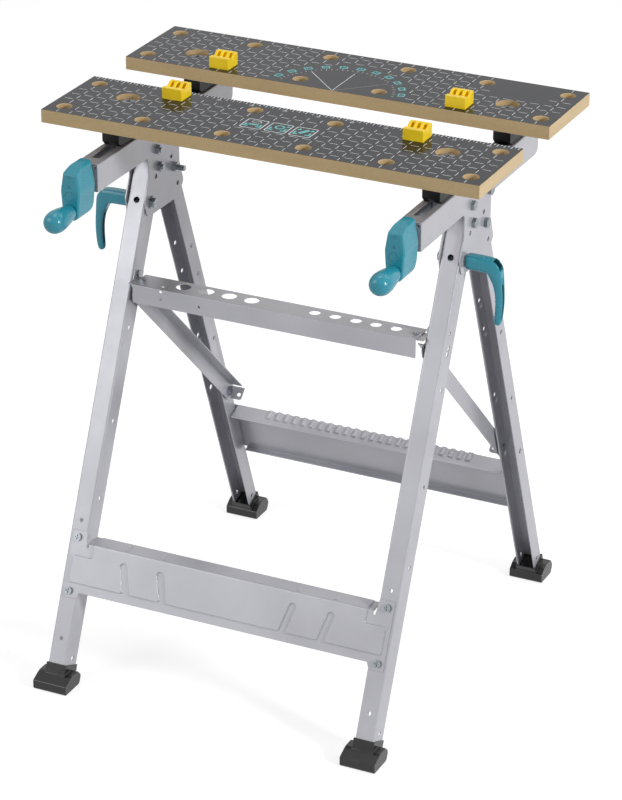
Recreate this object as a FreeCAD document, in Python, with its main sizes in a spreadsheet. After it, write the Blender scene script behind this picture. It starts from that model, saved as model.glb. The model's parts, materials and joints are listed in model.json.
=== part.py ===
"""Folding clamping work table: two wooden jaws on a folding steel sawhorse frame.

Frame of the model: millimetres, +Z up, X along the jaws, the two cranks at -Y.
The origin lies on the floor, midway between the front and the rear feet.
"""
import FreeCAD, Part
import Sketcher
import os
from math import hypot, sqrt

Vector = FreeCAD.Vector
doc = FreeCAD.newDocument("folding_work_table")
size = doc.addObject("Spreadsheet::Sheet", "size")

SIZES = [
    # jaws and their bench dogs
    ("table_height", 800, "floor to the top of the jaws"),
    ("jaw_length", 645, "along X"),
    ("jaw_width", 150, "along Y"),
    ("jaw_thick", 19, "board thickness"),
    ("jaw_gap", 91.6, "gap between the jaws as they stand"),
    ("gap_middle", 44.3, "middle of that gap, behind the middle of the feet"),
    ("dog_hole", 20, "diameter of the bench dog holes"),
    ("dog_pitch", 120, "spacing of the dog holes along X"),
    ("dog_columns", 6, "dog holes in one row"),
    ("dog_row_outer", 25, "outer row to the jaw's outer edge"),
    ("dog_row_inner", 25, "inner row to the jaw's inner edge"),
    ("hole_chamfer", 1, "chamfer round each dog hole"),
    ("dog_side", 30, "square body of a bench dog"),
    ("dog_ledge", 11, "floor of a dog's grooves above the jaw"),
    ("dog_rise", 18.5, "full height of a dog above the jaw"),
    ("dog_peg", 19.6, "diameter of the dog's peg"),
    ("dog_peg_length", 18, "length of the dog's peg"),
    ("dog_notch", 5.2, "width of the three notches in a dog"),
    ("dog_bar", 7.5, "bar along a dog's front edge"),
    # jaw bolts and sliders
    ("jaw_bolt_inset", 57.3, "jaw bolt to the jaw's inner edge"),
    ("jaw_bolt", 8, "jaw bolt diameter"),
    ("jaw_bolt_head", 20, "jaw bolt head diameter"),
    ("head_pocket", 33, "counterbore round the jaw bolt head"),
    ("head_pocket_depth", 8.5, "depth of that counterbore"),
    ("head_thick", 3.5, "thickness of the jaw bolt head"),
    ("slider_width", 25.8, "plastic slider block along X"),
    ("slider_length", 71, "slider block along Y"),
    ("slider_inner", 18, "slider's inner end from the jaw bolt"),
    ("slider_height", 35.3, "slider block between rail and jaw"),
    ("slider_chamfer", 7, "chamfer at the slider's lower ends"),
    ("glide_gap", 0.2, "running gap under the slider and round its tongue"),
    ("nut_length", 34, "spindle nut along the rail"),
    ("nut_below", 8.5, "spindle nut below the spindle's axis"),
    # rails and gussets
    ("rail_x", 238, "rail and leg centre line from the middle"),
    ("rail_width", 32.2, "rail outside width"),
    ("rail_height", 40, "rail height"),
    ("rail_wall", 2, "rail sheet thickness"),
    ("rail_front", 220.5, "rail front end before the gap's middle"),
    ("rail_back", 182.5, "rail rear end behind the gap's middle"),
    ("rail_tail_round", 12, "round at the rail's lower rear corner"),
    ("rail_edge_round", 1.8, "bend radius along the rail's top"),
    ("slot_width", 14.5, "slot in the rail's top"),
    ("slot_start", 20, "closed top before the slot"),
    ("plate_thick", 2, "plate that closes the rail's front end"),
    ("spindle_drop", 20.5, "spindle axis below the rail's top"),
    ("spindle", 12, "spindle diameter"),
    ("spindle_collar", 20, "spindle collar diameter"),
    ("spindle_back", 30, "spindle end behind the gap's middle"),
    ("spindle_tang", 9, "spindle tang inside the crank"),
    ("shaft_gap", 0.08, "radial clearance of the shafts and hinge pins"),
    # fold pivots, from the clamp lever's pivot
    ("pivot_forward", 70, "front leg pivot before the gap's middle"),
    ("pivot_drop", 68.5, "front leg pivot below the rail"),
    ("rear_pivot_back", 66, "rear leg pivot behind the front one"),
    ("rear_pivot_up", 31, "rear leg pivot above the front one"),
    ("pivot_bolt", 8, "pivot bolt diameter"),
    ("gusset_bolt", 8, "gusset bolt diameter"),
    ("gusset_hole", 7, "spare holes in the gusset"),
    # legs
    ("front_lean", 23.09, "front leg from the vertical, degrees"),
    ("rear_lean", 21.6, "rear leg from the vertical, degrees"),
    ("leg_width", 27.6, "leg channel across its web"),
    ("leg_wall", 1.5, "leg sheet thickness"),
    ("leg_round", 2.5, "bend radius of the leg channel"),
    ("front_leg_depth", 32, "front leg channel, web to flange edge"),
    ("rear_leg_depth", 28, "rear leg channel, web to flange edge"),
    ("front_leg_above", 61, "front leg above its pivot"),
    ("rear_leg_above", 16, "rear leg above its pivot"),
    ("leg_start", 9, "leg end above the floor, along the leg"),
    ("leg_hole", 6.5, "punched holes in the legs"),
    ("web_hole", 9, "hole in the front leg's web before its pivot"),
    # struts
    ("strut_drop", 129, "strut pivot below the front leg pivot"),
    ("strut_reach", 448.5, "strut pivot below the rear leg pivot"),
    ("strut_width", 24, "strut web across"),
    ("strut_wall", 1.5, "strut sheet thickness"),
    ("strut_flange", 20, "strut flange, inwards"),
    ("strut_gap", 2.8, "strut to the leg's side"),
    ("strut_pin", 8, "strut pin diameter"),
    ("open_gap", 0.3, "strut's lower pin to the rear leg"),
    # feet
    ("foot_width", 52, "foot along X"),
    ("foot_wall", 1.8, "wall of the foot's socket"),
    ("foot_grip", 31, "top of the socket, along the leg"),
    ("socket_gap", 0.15, "leg to socket, each side"),
    # lower panels, measured up the leg from the floor
    ("panel_wall", 1.5, "panel sheet thickness"),
    ("panel_half", 247.5, "half length of the panels"),
    ("panel_tab", 16, "tabs' inner edge inside the leg's centre line"),
    ("panel_bottom", 135.5, "bottom edge of the front panel"),
    ("panel_bend", 206.5, "bend along the front panel's top"),
    ("panel_tab_low", 126.5, "lower end of the front tabs"),
    ("panel_tab_high", 223, "upper end of the front tabs"),
    ("panel_flange", 26, "front panel's top flange"),
    ("panel_flange_tilt", 24, "that flange above square, degrees"),
    ("flange_half", 219, "half length of the front panel's flange"),
    ("panel_bend_round", 2.5, "bend radius from the pressed field to the flange"),
    ("press_rise", 2.5, "height of the pressed field"),
    ("press_half", 240.5, "half length of the pressed field"),
    ("press_low", 148.5, "lower edge of the pressed field"),
    ("press_shoulder", 187, "top of the pressed field at its ends"),
    ("press_step", 210, "where the pressed field steps up"),
    ("rib_width", 11, "width of the slanted ribs"),
    ("rib_top", 190.5, "top of the slanted ribs"),
    ("rib_inner", 86.5, "foot of the inner ribs from the middle"),
    ("rib_outer", 144.5, "foot of the outer ribs from the middle"),
    ("rib_slant", 11, "how far a rib leans outwards"),
    ("screw_low", 136, "lower panel screw"),
    ("screw_high", 213, "upper panel screw"),
    ("screw_head", 11, "panel screw head diameter"),
    ("rear_panel_bottom", 135.5, "bottom of the rear panel"),
    ("rear_panel_bend", 224.8, "bend along the rear panel's top"),
    ("rear_panel_flange", 27, "rear panel's top flange"),
    ("rear_panel_lip", 11, "rear panel's lower lip"),
    ("rear_flange_half", 220, "half length of the rear panel's flanges"),
    ("rear_bolt_low", 148.1, "lower rear panel bolt"),
    ("rear_bolt_high", 215.6, "upper rear panel bolt"),
    ("bead_pitch", 14.2, "pitch of the beads on the rear flange"),
    ("bead_count", 24, "beads on the rear flange"),
    ("bead_radius", 5, "half width of a bead"),
    # tool tray
    ("tray_top", 542, "top of the tool tray"),
    ("tray_half", 215, "half length of the tray"),
    ("tray_front", 33.5, "tray front before the legs' centre line at its top"),
    ("tray_depth", 40, "tray along Y"),
    ("tray_skirt", 27, "height of the tray's front"),
    ("tray_wall", 1.5, "tray sheet thickness"),
    ("tray_row", 24, "row of holes behind the tray's front"),
    ("tray_hole_big", 21.5, "large tool holes"),
    ("tray_hole_small", 15.8, "small tool holes"),
    ("bracket_top", 7, "tray bracket above the tray's top, along the leg"),
    ("bracket_height", 24, "tray bracket along the leg"),
    ("bracket_wall", 1.5, "tray bracket thickness"),
    ("bracket_screw", 4.5, "leg screw below the bracket's top"),
    ("small_screw", 5, "diameter of the panel and tray screws"),
    # cranks
    ("crank_back", 5, "crank behind face before the rail's plate"),
    ("crank_depth", 44, "crank arm along Y"),
    ("crank_reach", 33, "grip axis below the spindle"),
    ("crank_half", 14.5, "half width of the crank at the spindle"),
    ("grip_radius", 16, "largest radius of the grip"),
    ("grip_length", 56, "length of the grip"),
    ("grip_pin", 8, "pin that the grip turns on"),
    # clamp levers
    ("lever_washer", 1.6, "washer under the lever"),
    ("lever_hub", 20, "hub height of the lever"),
    ("lever_depth", 19, "lever along Y"),
    ("lever_reach", 73, "outside of the lever from the rail's middle"),
    ("lever_drop", 86, "tip of the lever below its pivot"),
    ("lever_edge", 2.2, "round along the lever's edges"),
    ("lever_socket", 15.6, "socket for the bolt head in the lever"),
]

for row, (name, value, note) in enumerate(SIZES, start=1):
    size.set("A%d" % row, name)
    size.set("B%d" % row, str(value))
    size.setAlias("B%d" % row, name)
    size.set("C%d" % row, note)
doc.recompute()

SIDES = {"left": -1, "right": 1}

# heights and depths that follow from the sheet
RAIL_TOP = "(size.table_height - size.jaw_thick - size.slider_height - size.glide_gap)"
RAIL_LOW = "(%s - size.rail_height)" % RAIL_TOP
JAW_LOW = "(size.table_height - size.jaw_thick)"
RAIL_NOSE = "(size.gap_middle - size.rail_front)"
RAIL_TAIL = "(size.gap_middle + size.rail_back)"
SPINDLE_Z = "(%s - size.spindle_drop)" % RAIL_TOP
A_Y = "(size.gap_middle - size.pivot_forward)"
A_Z = "(%s - size.pivot_drop)" % RAIL_LOW
B_Y = "(%s + size.rear_pivot_back)" % A_Y
B_Z = "(%s + size.rear_pivot_up)" % A_Z
FRONT_AXIS_Y = "(%s - %s * tan(size.front_lean))" % (A_Y, A_Z)
REAR_AXIS_Y = "(%s + %s * tan(size.rear_lean))" % (B_Y, B_Z)
FRONT_PIVOT_S = "(%s / cos(size.front_lean))" % A_Z
REAR_PIVOT_S = "(%s / cos(size.rear_lean))" % B_Z
C_Y = "(%s - size.strut_drop * sin(size.front_lean))" % A_Y
C_Z = "(%s - size.strut_drop * cos(size.front_lean))" % A_Z
D_Y = "(%s + size.strut_reach * sin(size.rear_lean))" % B_Y
D_Z = "(%s - size.strut_reach * cos(size.rear_lean))" % B_Z
STRUT_LENGTH = "(sqrt((%s - %s)^2 + (%s - %s)^2))" % (D_Y, C_Y, C_Z, D_Z)
STRUT_TURN = "(-180 deg + atan((%s - %s) / (%s - %s)))" % (D_Y, C_Y, C_Z, D_Z)
JAW_BOLT_Y = "(size.jaw_gap / 2 + size.jaw_bolt_inset)"
TRAY_Y = "(%s - (%s - size.tray_top) * tan(size.front_lean) - size.tray_front)" % (A_Y, A_Z)
BRACKET_BELOW = "((%s - size.tray_top) / cos(size.front_lean) - size.bracket_top)" % A_Z


def val(text):
    """Number that an expression gives."""
    return float(size.evalExpression(text))


# ---------------------------------------------------------------- building blocks

def new_body(label):
    body = doc.addObject("PartDesign::Body", label)
    body.Label = label
    return body


def place(thing, x="0", y="0", z="0", turn="0", axis=(1, 0, 0)):
    """Put a sub-part at x, y, z, turned about an axis; all are expressions."""
    thing.Placement = FreeCAD.Placement(Vector(), FreeCAD.Rotation(Vector(*axis), val(turn)))
    thing.setExpression("Placement.Base.x", x)
    thing.setExpression("Placement.Base.y", y)
    thing.setExpression("Placement.Base.z", z)
    if turn != "0":
        thing.setExpression("Placement.Rotation.Angle", turn)
    return thing


def lean_front(thing, x="0"):
    """Frame of a front leg: Z runs up the leg from the floor, Y to the rear."""
    return place(thing, x, FRONT_AXIS_Y, "0", "-size.front_lean")


def lean_rear(thing, x="0"):
    """Frame of a rear leg: Z runs up the leg from the floor, Y to the rear."""
    return place(thing, x, REAR_AXIS_Y, "0", "size.rear_lean")


def new_sketch(body, plane, lift="0"):
    """Empty sketch on one of the body's own planes, lifted along its normal."""
    sketch = body.newObject("Sketcher::SketchObject", body.Name + "_sketch")
    origin_plane = [f for f in body.Origin.OriginFeatures if f.Role == plane + "_Plane"][0]
    sketch.AttachmentSupport = (origin_plane, [""])
    sketch.MapMode = "FlatFace"
    if lift != "0":
        sketch.setExpression("AttachmentOffset.Base.z", lift)
    return sketch


def bind(sketch, kind, geometry, point, text):
    """Hold one coordinate of a sketch point at an expression."""
    spot = sketch.addConstraint(Sketcher.Constraint(kind, -1, 1, geometry, point, val(text)))
    sketch.setExpression("Constraints[%d]" % spot, text)


def outline(sketch, steps):
    """Closed outline. A step (x, y) is a line to there; (x, y, radius, side) an arc
    to there whose centre lies to the left or the right of the way."""
    first = sketch.GeometryCount
    spots = [Vector(val(step[0]), val(step[1]), 0) for step in steps]
    ends = []
    for index, step in enumerate(steps):
        start, end = spots[index - 1], spots[index]
        if len(step) == 2:
            sketch.addGeometry(Part.LineSegment(start, end), False)
            ends.append((1, 2))
            continue
        radius, side = val(step[2]), step[3]
        chord = end - start
        across = Vector(-chord.y, chord.x, 0).normalize()
        rise = sqrt(max(radius ** 2 - (chord.Length / 2) ** 2, 0))
        centre = (start + end) / 2 + across * (rise if side == "left" else -rise)
        middle = (start + end) / 2 - centre
        middle = centre + middle.normalize() * radius
        sketch.addGeometry(Part.Arc(start, middle, end), False)
        ends.append((1, 2) if side == "left" else (2, 1))
        bound = sketch.addConstraint(Sketcher.Constraint("Radius", first + index, radius))
        sketch.setExpression("Constraints[%d]" % bound, step[2])
    for index, step in enumerate(steps):
        after = (index + 1) % len(steps)
        sketch.addConstraint(Sketcher.Constraint(
            "Coincident", first + index, ends[index][1], first + after, ends[after][0]))
        bind(sketch, "DistanceX", first + index, ends[index][1], step[0])
        bind(sketch, "DistanceY", first + index, ends[index][1], step[1])


def rectangle(sketch, x0, y0, x1, y1):
    outline(sketch, [(x0, y0), (x1, y0), (x1, y1), (x0, y1)])


def circle(sketch, x, y, diameter):
    index = sketch.GeometryCount
    round_hole = Part.Circle(Vector(val(x), val(y), 0), Vector(0, 0, 1), val(diameter) / 2)
    sketch.addGeometry(round_hole, False)
    bind(sketch, "DistanceX", index, 3, x)
    bind(sketch, "DistanceY", index, 3, y)
    bound = sketch.addConstraint(Sketcher.Constraint("Diameter", index, val(diameter)))
    sketch.setExpression("Constraints[%d]" % bound, diameter)


def pad(body, sketch, length, both=False, back=False):
    feature = body.newObject("PartDesign::Pad", sketch.Name + "_pad")
    feature.Profile = sketch
    feature.setExpression("Length", length)
    feature.SideType = "Symmetric" if both else "One side"
    feature.Reversed = back
    sketch.Visibility = False
    doc.recompute()
    return feature


def pocket(body, sketch, length, both=False, back=False):
    """Cut a sketch into the body, and make sure that it removes something."""
    before = body.Shape.Volume
    feature = body.newObject("PartDesign::Pocket", sketch.Name + "_pocket")
    feature.Profile = sketch
    feature.setExpression("Length", length)
    feature.SideType = "Symmetric" if both else "One side"
    feature.Reversed = back
    sketch.Visibility = False
    doc.recompute()
    if body.Shape.Volume > before - 1e-3:
        raise RuntimeError("nothing cut in " + body.Label)
    return feature


def revolve(body, steps, plane="XY", groove=False):
    """Turn a closed outline (radius, length) about the sketch's vertical axis."""
    sketch = new_sketch(body, plane)
    outline(sketch, steps)
    kind = "PartDesign::Groove" if groove else "PartDesign::Revolution"
    feature = body.newObject(kind, sketch.Name + "_turned")
    feature.Profile = sketch
    feature.ReferenceAxis = (sketch, ["V_Axis"])
    feature.Angle = 360
    doc.recompute()
    return feature


def edges_along(body, axis, spots):
    """Straight edges along an axis (0, 1, 2) that pass through the given spots."""
    others = [i for i in range(3) if i != axis]
    wanted = [(val(u), val(v)) for u, v in spots]
    names = []
    for number, edge in enumerate(body.Tip.Shape.Edges, start=1):
        if edge.Curve.TypeId != "Part::GeomLine":
            continue
        ends = [vertex.Point for vertex in edge.Vertexes]
        if len(ends) < 2 or hypot(*[ends[0][i] - ends[1][i] for i in others]) > 1e-4:
            continue
        for u, v in wanted:
            if hypot(ends[0][others[0]] - u, ends[0][others[1]] - v) < 1e-3:
                names.append("Edge%d" % number)
    if not names:
        raise RuntimeError("no edge found in " + body.Label)
    return names


def edges_at(body, axis, level, largest=1e9, smallest=0):
    """Edges that lie wholly in the plane where one coordinate has a level."""
    height = val(level)
    names = []
    for number, edge in enumerate(body.Tip.Shape.Edges, start=1):
        box = edge.BoundBox
        low = (box.XMin, box.YMin, box.ZMin)[axis]
        high = (box.XMax, box.YMax, box.ZMax)[axis]
        if abs(low - height) < 1e-3 and abs(high - height) < 1e-3:
            if smallest <= edge.Length <= largest:
                names.append("Edge%d" % number)
    return names


def dress(body, kind, edges, amount):
    """Fillet or chamfer some edges of the body."""
    base = body.Tip
    feature = body.newObject("PartDesign::" + kind, body.Name + "_" + kind.lower())
    feature.Base = (base, edges)
    feature.setExpression("Radius" if kind == "Fillet" else "Size", amount)
    body.Tip = feature
    doc.recompute()
    return feature


def round_edges(body, axis, spots, radius):
    return dress(body, "Fillet", edges_along(body, axis, spots), radius)


def rod(name, axis, start, diameter, length):
    """Cylinder along X, Y or Z from a start point given as three expressions."""
    cylinder = doc.addObject("Part::Cylinder", name)
    cylinder.setExpression("Radius", "(%s) / 2" % diameter)
    cylinder.setExpression("Height", length)
    return point_along(cylinder, axis, start)


def hexagon(name, axis, start, across, length):
    prism = doc.addObject("Part::Prism", name)
    prism.Polygon = 6
    prism.setExpression("Circumradius", "(%s) / sqrt(3)" % across)
    prism.setExpression("Height", length)
    return point_along(prism, axis, start)


def point_along(solid, axis, start):
    turns = {"X": ((0, 1, 0), "90"), "Y": ((1, 0, 0), "-90"), "Z": ((1, 0, 0), "0")}
    return place(solid, *start, turn=turns[axis][1], axis=turns[axis][0])


def fuse(name, solids):
    joined = doc.addObject("Part::MultiFuse", name)
    joined.Shapes = solids
    return joined


def cut(name, base, tool):
    result = doc.addObject("Part::Cut", name)
    result.Base, result.Tool = base, tool
    return result


def group(label, solids):
    """Separate solids that share one node."""
    compound = doc.addObject("Part::Compound", label)
    compound.Label = label
    compound.Links = solids
    return compound


def across(side, inner, outer):
    """Start and length along X of a piece that reaches from inner, towards the
    middle, to outer, away from it, both counted from the rail's centre line."""
    if side > 0:
        return "(size.rail_x - (%s))" % inner, "((%s) + (%s))" % (inner, outer)
    return "(-size.rail_x - (%s))" % outer, "((%s) + (%s))" % (inner, outer)


def centre_x(side):
    return "%d * size.rail_x" % side


# ---------------------------------------------------------------- jaws

def jaw(label, side):
    """Wooden jaw in front of (-1) or behind (+1) the gap."""
    body = new_body(label)
    inner = "%d * size.jaw_gap / 2" % side
    outer = "%d * (size.jaw_gap / 2 + size.jaw_width)" % side
    board = new_sketch(body, "XY")
    rectangle(board, "-size.jaw_length / 2", inner, "size.jaw_length / 2", outer)
    pad(body, board, "size.jaw_thick")
    rows = ["%d * (size.jaw_gap / 2 + size.dog_row_inner)" % side,
            "%d * (size.jaw_gap / 2 + size.jaw_width - size.dog_row_outer)" % side]
    first = new_sketch(body, "XY", "size.jaw_thick")
    for row in rows:
        circle(first, "-size.dog_pitch * (size.dog_columns - 1) / 2", row, "size.dog_hole")
    holes = pocket(body, first, "size.jaw_thick")
    pattern = body.newObject("PartDesign::LinearPattern", label + "_dog_holes")
    pattern.Originals = [holes]
    pattern.Direction = (first, ["H_Axis"])
    pattern.setExpression("Length", "size.dog_pitch * (size.dog_columns - 1)")
    pattern.setExpression("Occurrences", "size.dog_columns")
    body.Tip = pattern
    doc.recompute()
    round_length = 3.2 * val("size.dog_hole")
    rims = edges_at(body, 2, "size.jaw_thick", round_length, 3 * val("size.dog_hole"))
    dress(body, "Chamfer", rims, "size.hole_chamfer")
    bolt_y = "%d * %s" % (side, JAW_BOLT_Y)
    for diameter, depth in (("size.head_pocket", "size.head_pocket_depth"),
                            ("size.jaw_bolt + 2 * size.glide_gap", "size.jaw_thick")):
        bolts = new_sketch(body, "XY", "size.jaw_thick")
        circle(bolts, "-size.rail_x", bolt_y, diameter)
        circle(bolts, "size.rail_x", bolt_y, diameter)
        pocket(body, bolts, depth)
    return place(body, "0", "size.gap_middle", JAW_LOW)


def jaw_bolts(label, side):
    """Two flat-headed bolts that hold a jaw down on its sliders."""
    bolts = []
    head_low = "(size.table_height - size.head_pocket_depth)"
    tail_low = "(%s - size.rail_wall - 6)" % RAIL_TOP
    for name, hand in SIDES.items():
        spot = (centre_x(hand), "size.gap_middle + %d * %s" % (side, JAW_BOLT_Y))
        stem = label + "_" + name
        shank = rod(stem + "_shank", "Z", spot + (tail_low,), "size.jaw_bolt",
                    "%s - %s" % (head_low, tail_low))
        head = rod(stem + "_head", "Z", spot + (head_low,), "size.jaw_bolt_head",
                   "size.head_thick")
        slots = []
        for name_x, long_x, long_y in (("across", "10", "2.2"), ("upright", "2.2", "10")):
            slot = doc.addObject("Part::Box", "%s_%s" % (stem, name_x))
            slot.setExpression("Length", long_x)
            slot.setExpression("Width", long_y)
            slot.setExpression("Height", "size.head_thick")
            place(slot, "%s - %s / 2" % (spot[0], long_x), "%s - %s / 2" % (spot[1], long_y),
                  head_low + " + 1.2")
            slots.append(slot)
        drive = fuse(stem + "_drive", slots)
        bolts.append(cut(stem, fuse(stem + "_blank", [shank, head]), drive))
    return group(label, bolts)


def bench_dog(label, side, hand):
    """Square plastic dog: a bar in front, a V groove, and a slope with three notches."""
    body = new_body(label)
    half = "size.dog_side / 2"
    block = new_sketch(body, "YZ")
    outline(block, [("-" + half, "0"), (half, "0"), (half, "size.dog_rise"),
                    ("size.dog_side * 0.23", "size.dog_rise"),
                    ("-size.dog_side * 0.13", "size.dog_ledge"),
                    ("-%s + size.dog_bar" % half, "size.dog_rise - 2"),
                    ("-" + half, "size.dog_rise - 2")])
    pad(body, block, "size.dog_side", both=True)
    notches = new_sketch(body, "XY", "size.dog_rise")
    for place_x in (-0.3, 0, 0.3):
        middle = "size.dog_side * %g" % place_x
        rectangle(notches, middle + " - size.dog_notch / 2", "-size.dog_side * 0.13",
                  middle + " + size.dog_notch / 2", "size.dog_side * 0.35")
    pocket(body, notches, "size.dog_rise - size.dog_ledge")
    peg = new_sketch(body, "XY")
    circle(peg, "0", "0", "size.dog_peg")
    pad(body, peg, "size.dog_peg_length", back=True)
    row = "(size.jaw_gap / 2 + size.dog_row_inner)"
    return place(body, "%d * 1.5 * size.dog_pitch" % hand,
                 "size.gap_middle + %d * %s" % (side, row), "size.table_height")


# ---------------------------------------------------------------- sliders

def slider(label, side, hand):
    """Plastic block that carries a jaw on the rail, with a tongue in the slot."""
    body = new_body(label)
    near = "(-%d * size.slider_inner)" % side
    far = "(%d * (size.slider_length - size.slider_inner))" % side
    block = new_sketch(body, "YZ")
    outline(block, [("%s + %d * size.slider_chamfer" % (near, side), "0"),
                    ("%s - %d * size.slider_chamfer" % (far, side), "0"),
                    (far, "size.slider_chamfer"), (far, "size.slider_height"),
                    (near, "size.slider_height"), (near, "size.slider_chamfer")])
    pad(body, block, "size.slider_width", both=True)
    tongue = new_sketch(body, "XY")
    rectangle(tongue, "-size.slot_width / 2 + size.glide_gap", "-size.nut_length / 2",
              "size.slot_width / 2 - size.glide_gap", "size.nut_length / 2")
    pad(body, tongue, "size.glide_gap + size.rail_wall", back=True)
    bore = new_sketch(body, "XY", "size.slider_height")
    circle(bore, "0", "0", "size.jaw_bolt + 2 * size.glide_gap")
    pocket(body, bore, "size.slider_height + size.glide_gap + size.rail_wall")
    grooves = new_sketch(body, "XZ")
    for edge in (-1, 1):
        outer = "%d * size.slider_width / 2" % edge
        inner = "%d * (size.slider_width / 2 - 2)" % edge
        rectangle(grooves, inner, "size.slider_height * 0.55", outer,
                  "size.slider_height * 0.62")
    pocket(body, grooves, "2 * size.slider_length", both=True)
    return place(body, centre_x(hand), "size.gap_middle + %d * %s" % (side, JAW_BOLT_Y),
                 RAIL_TOP + " + size.glide_gap")


def spindle_nut(label, hand):
    """Block inside the rail, threaded for the spindle and for the jaw bolt."""
    body = new_body(label)
    top = "(size.spindle_drop - size.rail_wall)"
    half = "(size.rail_width / 2 - size.rail_wall - 1)"
    block = new_sketch(body, "XZ")
    rectangle(block, "-" + half, "-size.nut_below", half, top)
    pad(body, block, "size.nut_length", both=True)
    bore = new_sketch(body, "XZ")
    circle(bore, "0", "0", "size.spindle + 2 * size.shaft_gap")
    pocket(body, bore, "size.nut_length + 2", both=True)
    tapped = new_sketch(body, "XY", top)
    circle(tapped, "0", "0", "size.jaw_bolt")
    pocket(body, tapped, "6")
    return place(body, centre_x(hand), "size.gap_middle - " + JAW_BOLT_Y, SPINDLE_Z)


def rear_anchors(label):
    """Threaded plates under the rail that hold the rear sliders down."""
    plates = []
    for name, hand in SIDES.items():
        plate = doc.addObject("Part::Box", label + "_" + name + "_blank")
        half = "(size.rail_width / 2 - size.rail_wall - 1)"
        plate.setExpression("Length", "2 * " + half)
        plate.setExpression("Width", "size.nut_length")
        plate.setExpression("Height", "6")
        low = RAIL_TOP + " - size.rail_wall - 6"
        middle = "(size.gap_middle + %s)" % JAW_BOLT_Y
        place(plate, centre_x(hand) + " - " + half, middle + " - size.nut_length / 2", low)
        hole = rod(label + "_" + name + "_hole", "Z", (centre_x(hand), middle, low),
                   "size.jaw_bolt", "6")
        plates.append(cut(label + "_" + name, plate, hole))
    return group(label, plates)


# ---------------------------------------------------------------- rails

def gusset_spots():
    """Gusset bolts and spare holes: offsets from the front leg's pivot."""
    bolts = [("18", "73"), ("23", "46"), ("77", "75")]
    holes = [("14", "34"), ("60", "48.5"), ("78.5", "2")]
    return bolts, holes


def rail(label, hand):
    """One pressing: slotted inverted channel whose walls run down as gussets."""
    body = new_body(label)
    rear_edge = "(%s + size.rear_pivot_back + 18.5)" % A_Y
    front_edge = "(%s - 6.5)" % A_Y
    side = new_sketch(body, "YZ")
    outline(side, [
        (RAIL_NOSE, RAIL_TOP), (RAIL_TAIL, RAIL_TOP), (RAIL_TAIL, RAIL_LOW),
        (rear_edge, RAIL_LOW), (rear_edge, B_Z + " + 3"),
        (A_Y + " + size.rear_pivot_back + 31", A_Z + " - 1"),
        (A_Y + " + size.rear_pivot_back + 6", A_Z + " - 19"),
        (A_Y + " - 14", A_Z + " - 18.5"), (A_Y + " - 20", A_Z + " + 7"),
        (front_edge, A_Z + " + 36"), (front_edge, RAIL_LOW), (RAIL_NOSE, RAIL_LOW)])
    pad(body, side, "size.rail_width", both=True)
    round_edges(body, 0, [(RAIL_TAIL, RAIL_LOW)], "size.rail_tail_round")
    round_edges(body, 0, [(rear_edge, RAIL_LOW), (front_edge, RAIL_LOW),
                          (A_Y + " - 20", A_Z + " + 7"),
                          (A_Y + " + size.rear_pivot_back + 31", A_Z + " - 1")], "8")
    round_edges(body, 0, [(A_Y + " - 14", A_Z + " - 18.5"),
                          (A_Y + " + size.rear_pivot_back + 6", A_Z + " - 19"),
                          (rear_edge, B_Z + " + 3")], "12")
    inside = new_sketch(body, "XZ")
    half = "(size.rail_width / 2 - size.rail_wall)"
    rectangle(inside, "-" + half, A_Z + " - 40", half, RAIL_TOP + " - size.rail_wall")
    pocket(body, inside, "3 * (size.rail_front + size.rail_back)", both=True)
    slot = new_sketch(body, "XY", RAIL_TOP)
    rectangle(slot, "-size.slot_width / 2", RAIL_NOSE + " + size.slot_start",
              "size.slot_width / 2", RAIL_TAIL + " - size.slot_start / 2")
    pocket(body, slot, "2 * size.rail_wall")
    bends = [("%d * size.rail_width / 2" % edge, RAIL_TOP) for edge in (-1, 1)]
    round_edges(body, 1, bends, "size.rail_edge_round")
    bolts, holes = gusset_spots()
    bores = new_sketch(body, "YZ")
    circle(bores, A_Y, A_Z, "size.pivot_bolt + 2 * size.shaft_gap")
    circle(bores, B_Y, B_Z, "size.pivot_bolt")
    for y, z in bolts:
        circle(bores, "%s + %s" % (A_Y, y), "%s + %s" % (A_Z, z), "size.gusset_bolt")
    for y, z in holes:
        circle(bores, "%s + %s" % (A_Y, y), "%s + %s" % (A_Z, z), "size.gusset_hole")
    pocket(body, bores, "2 * size.rail_width", both=True)
    return place(body, centre_x(hand))


def end_plate(label, hand):
    """Plate that closes the rail's front end and carries the spindle."""
    body = new_body(label)
    face = new_sketch(body, "XZ")
    half = "size.rail_width / 2"
    rectangle(face, "-" + half, RAIL_LOW, half, RAIL_TOP)
    pad(body, face, "size.plate_thick")
    bores = new_sketch(body, "XZ", "size.plate_thick")
    circle(bores, "0", SPINDLE_Z, "size.spindle + 2 * size.shaft_gap")
    for edge in (-1, 1):
        circle(bores, "%d * (%s - 4.5)" % (edge, half), RAIL_TOP + " - 5", "3.5")
    pocket(body, bores, "size.plate_thick")
    tops = [("%d * %s" % (edge, half), RAIL_TOP) for edge in (-1, 1)]
    round_edges(body, 1, tops, "size.rail_edge_round")
    return place(body, centre_x(hand), RAIL_NOSE)


def spindle(label, hand):
    """Turned spindle: tang in the crank, collars each side of the plate, thread."""
    body = new_body(label)
    nose = "(-size.plate_thick - size.crank_back)"
    shaft, collar = "size.spindle / 2", "size.spindle_collar / 2"
    tail = "(size.rail_front + size.spindle_back)"
    revolve(body, [("0", nose + " - 24"), ("size.spindle_tang / 2", nose + " - 24"),
                   ("size.spindle_tang / 2", nose), (collar, nose),
                   (collar, "-size.plate_thick - size.glide_gap"),
                   (shaft, "-size.plate_thick - size.glide_gap"), (shaft, "size.glide_gap"),
                   (collar, "size.glide_gap"), (collar, "4"), (shaft, "4"), (shaft, tail),
                   ("0", tail)])
    return place(body, centre_x(hand), RAIL_NOSE, SPINDLE_Z)


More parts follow.
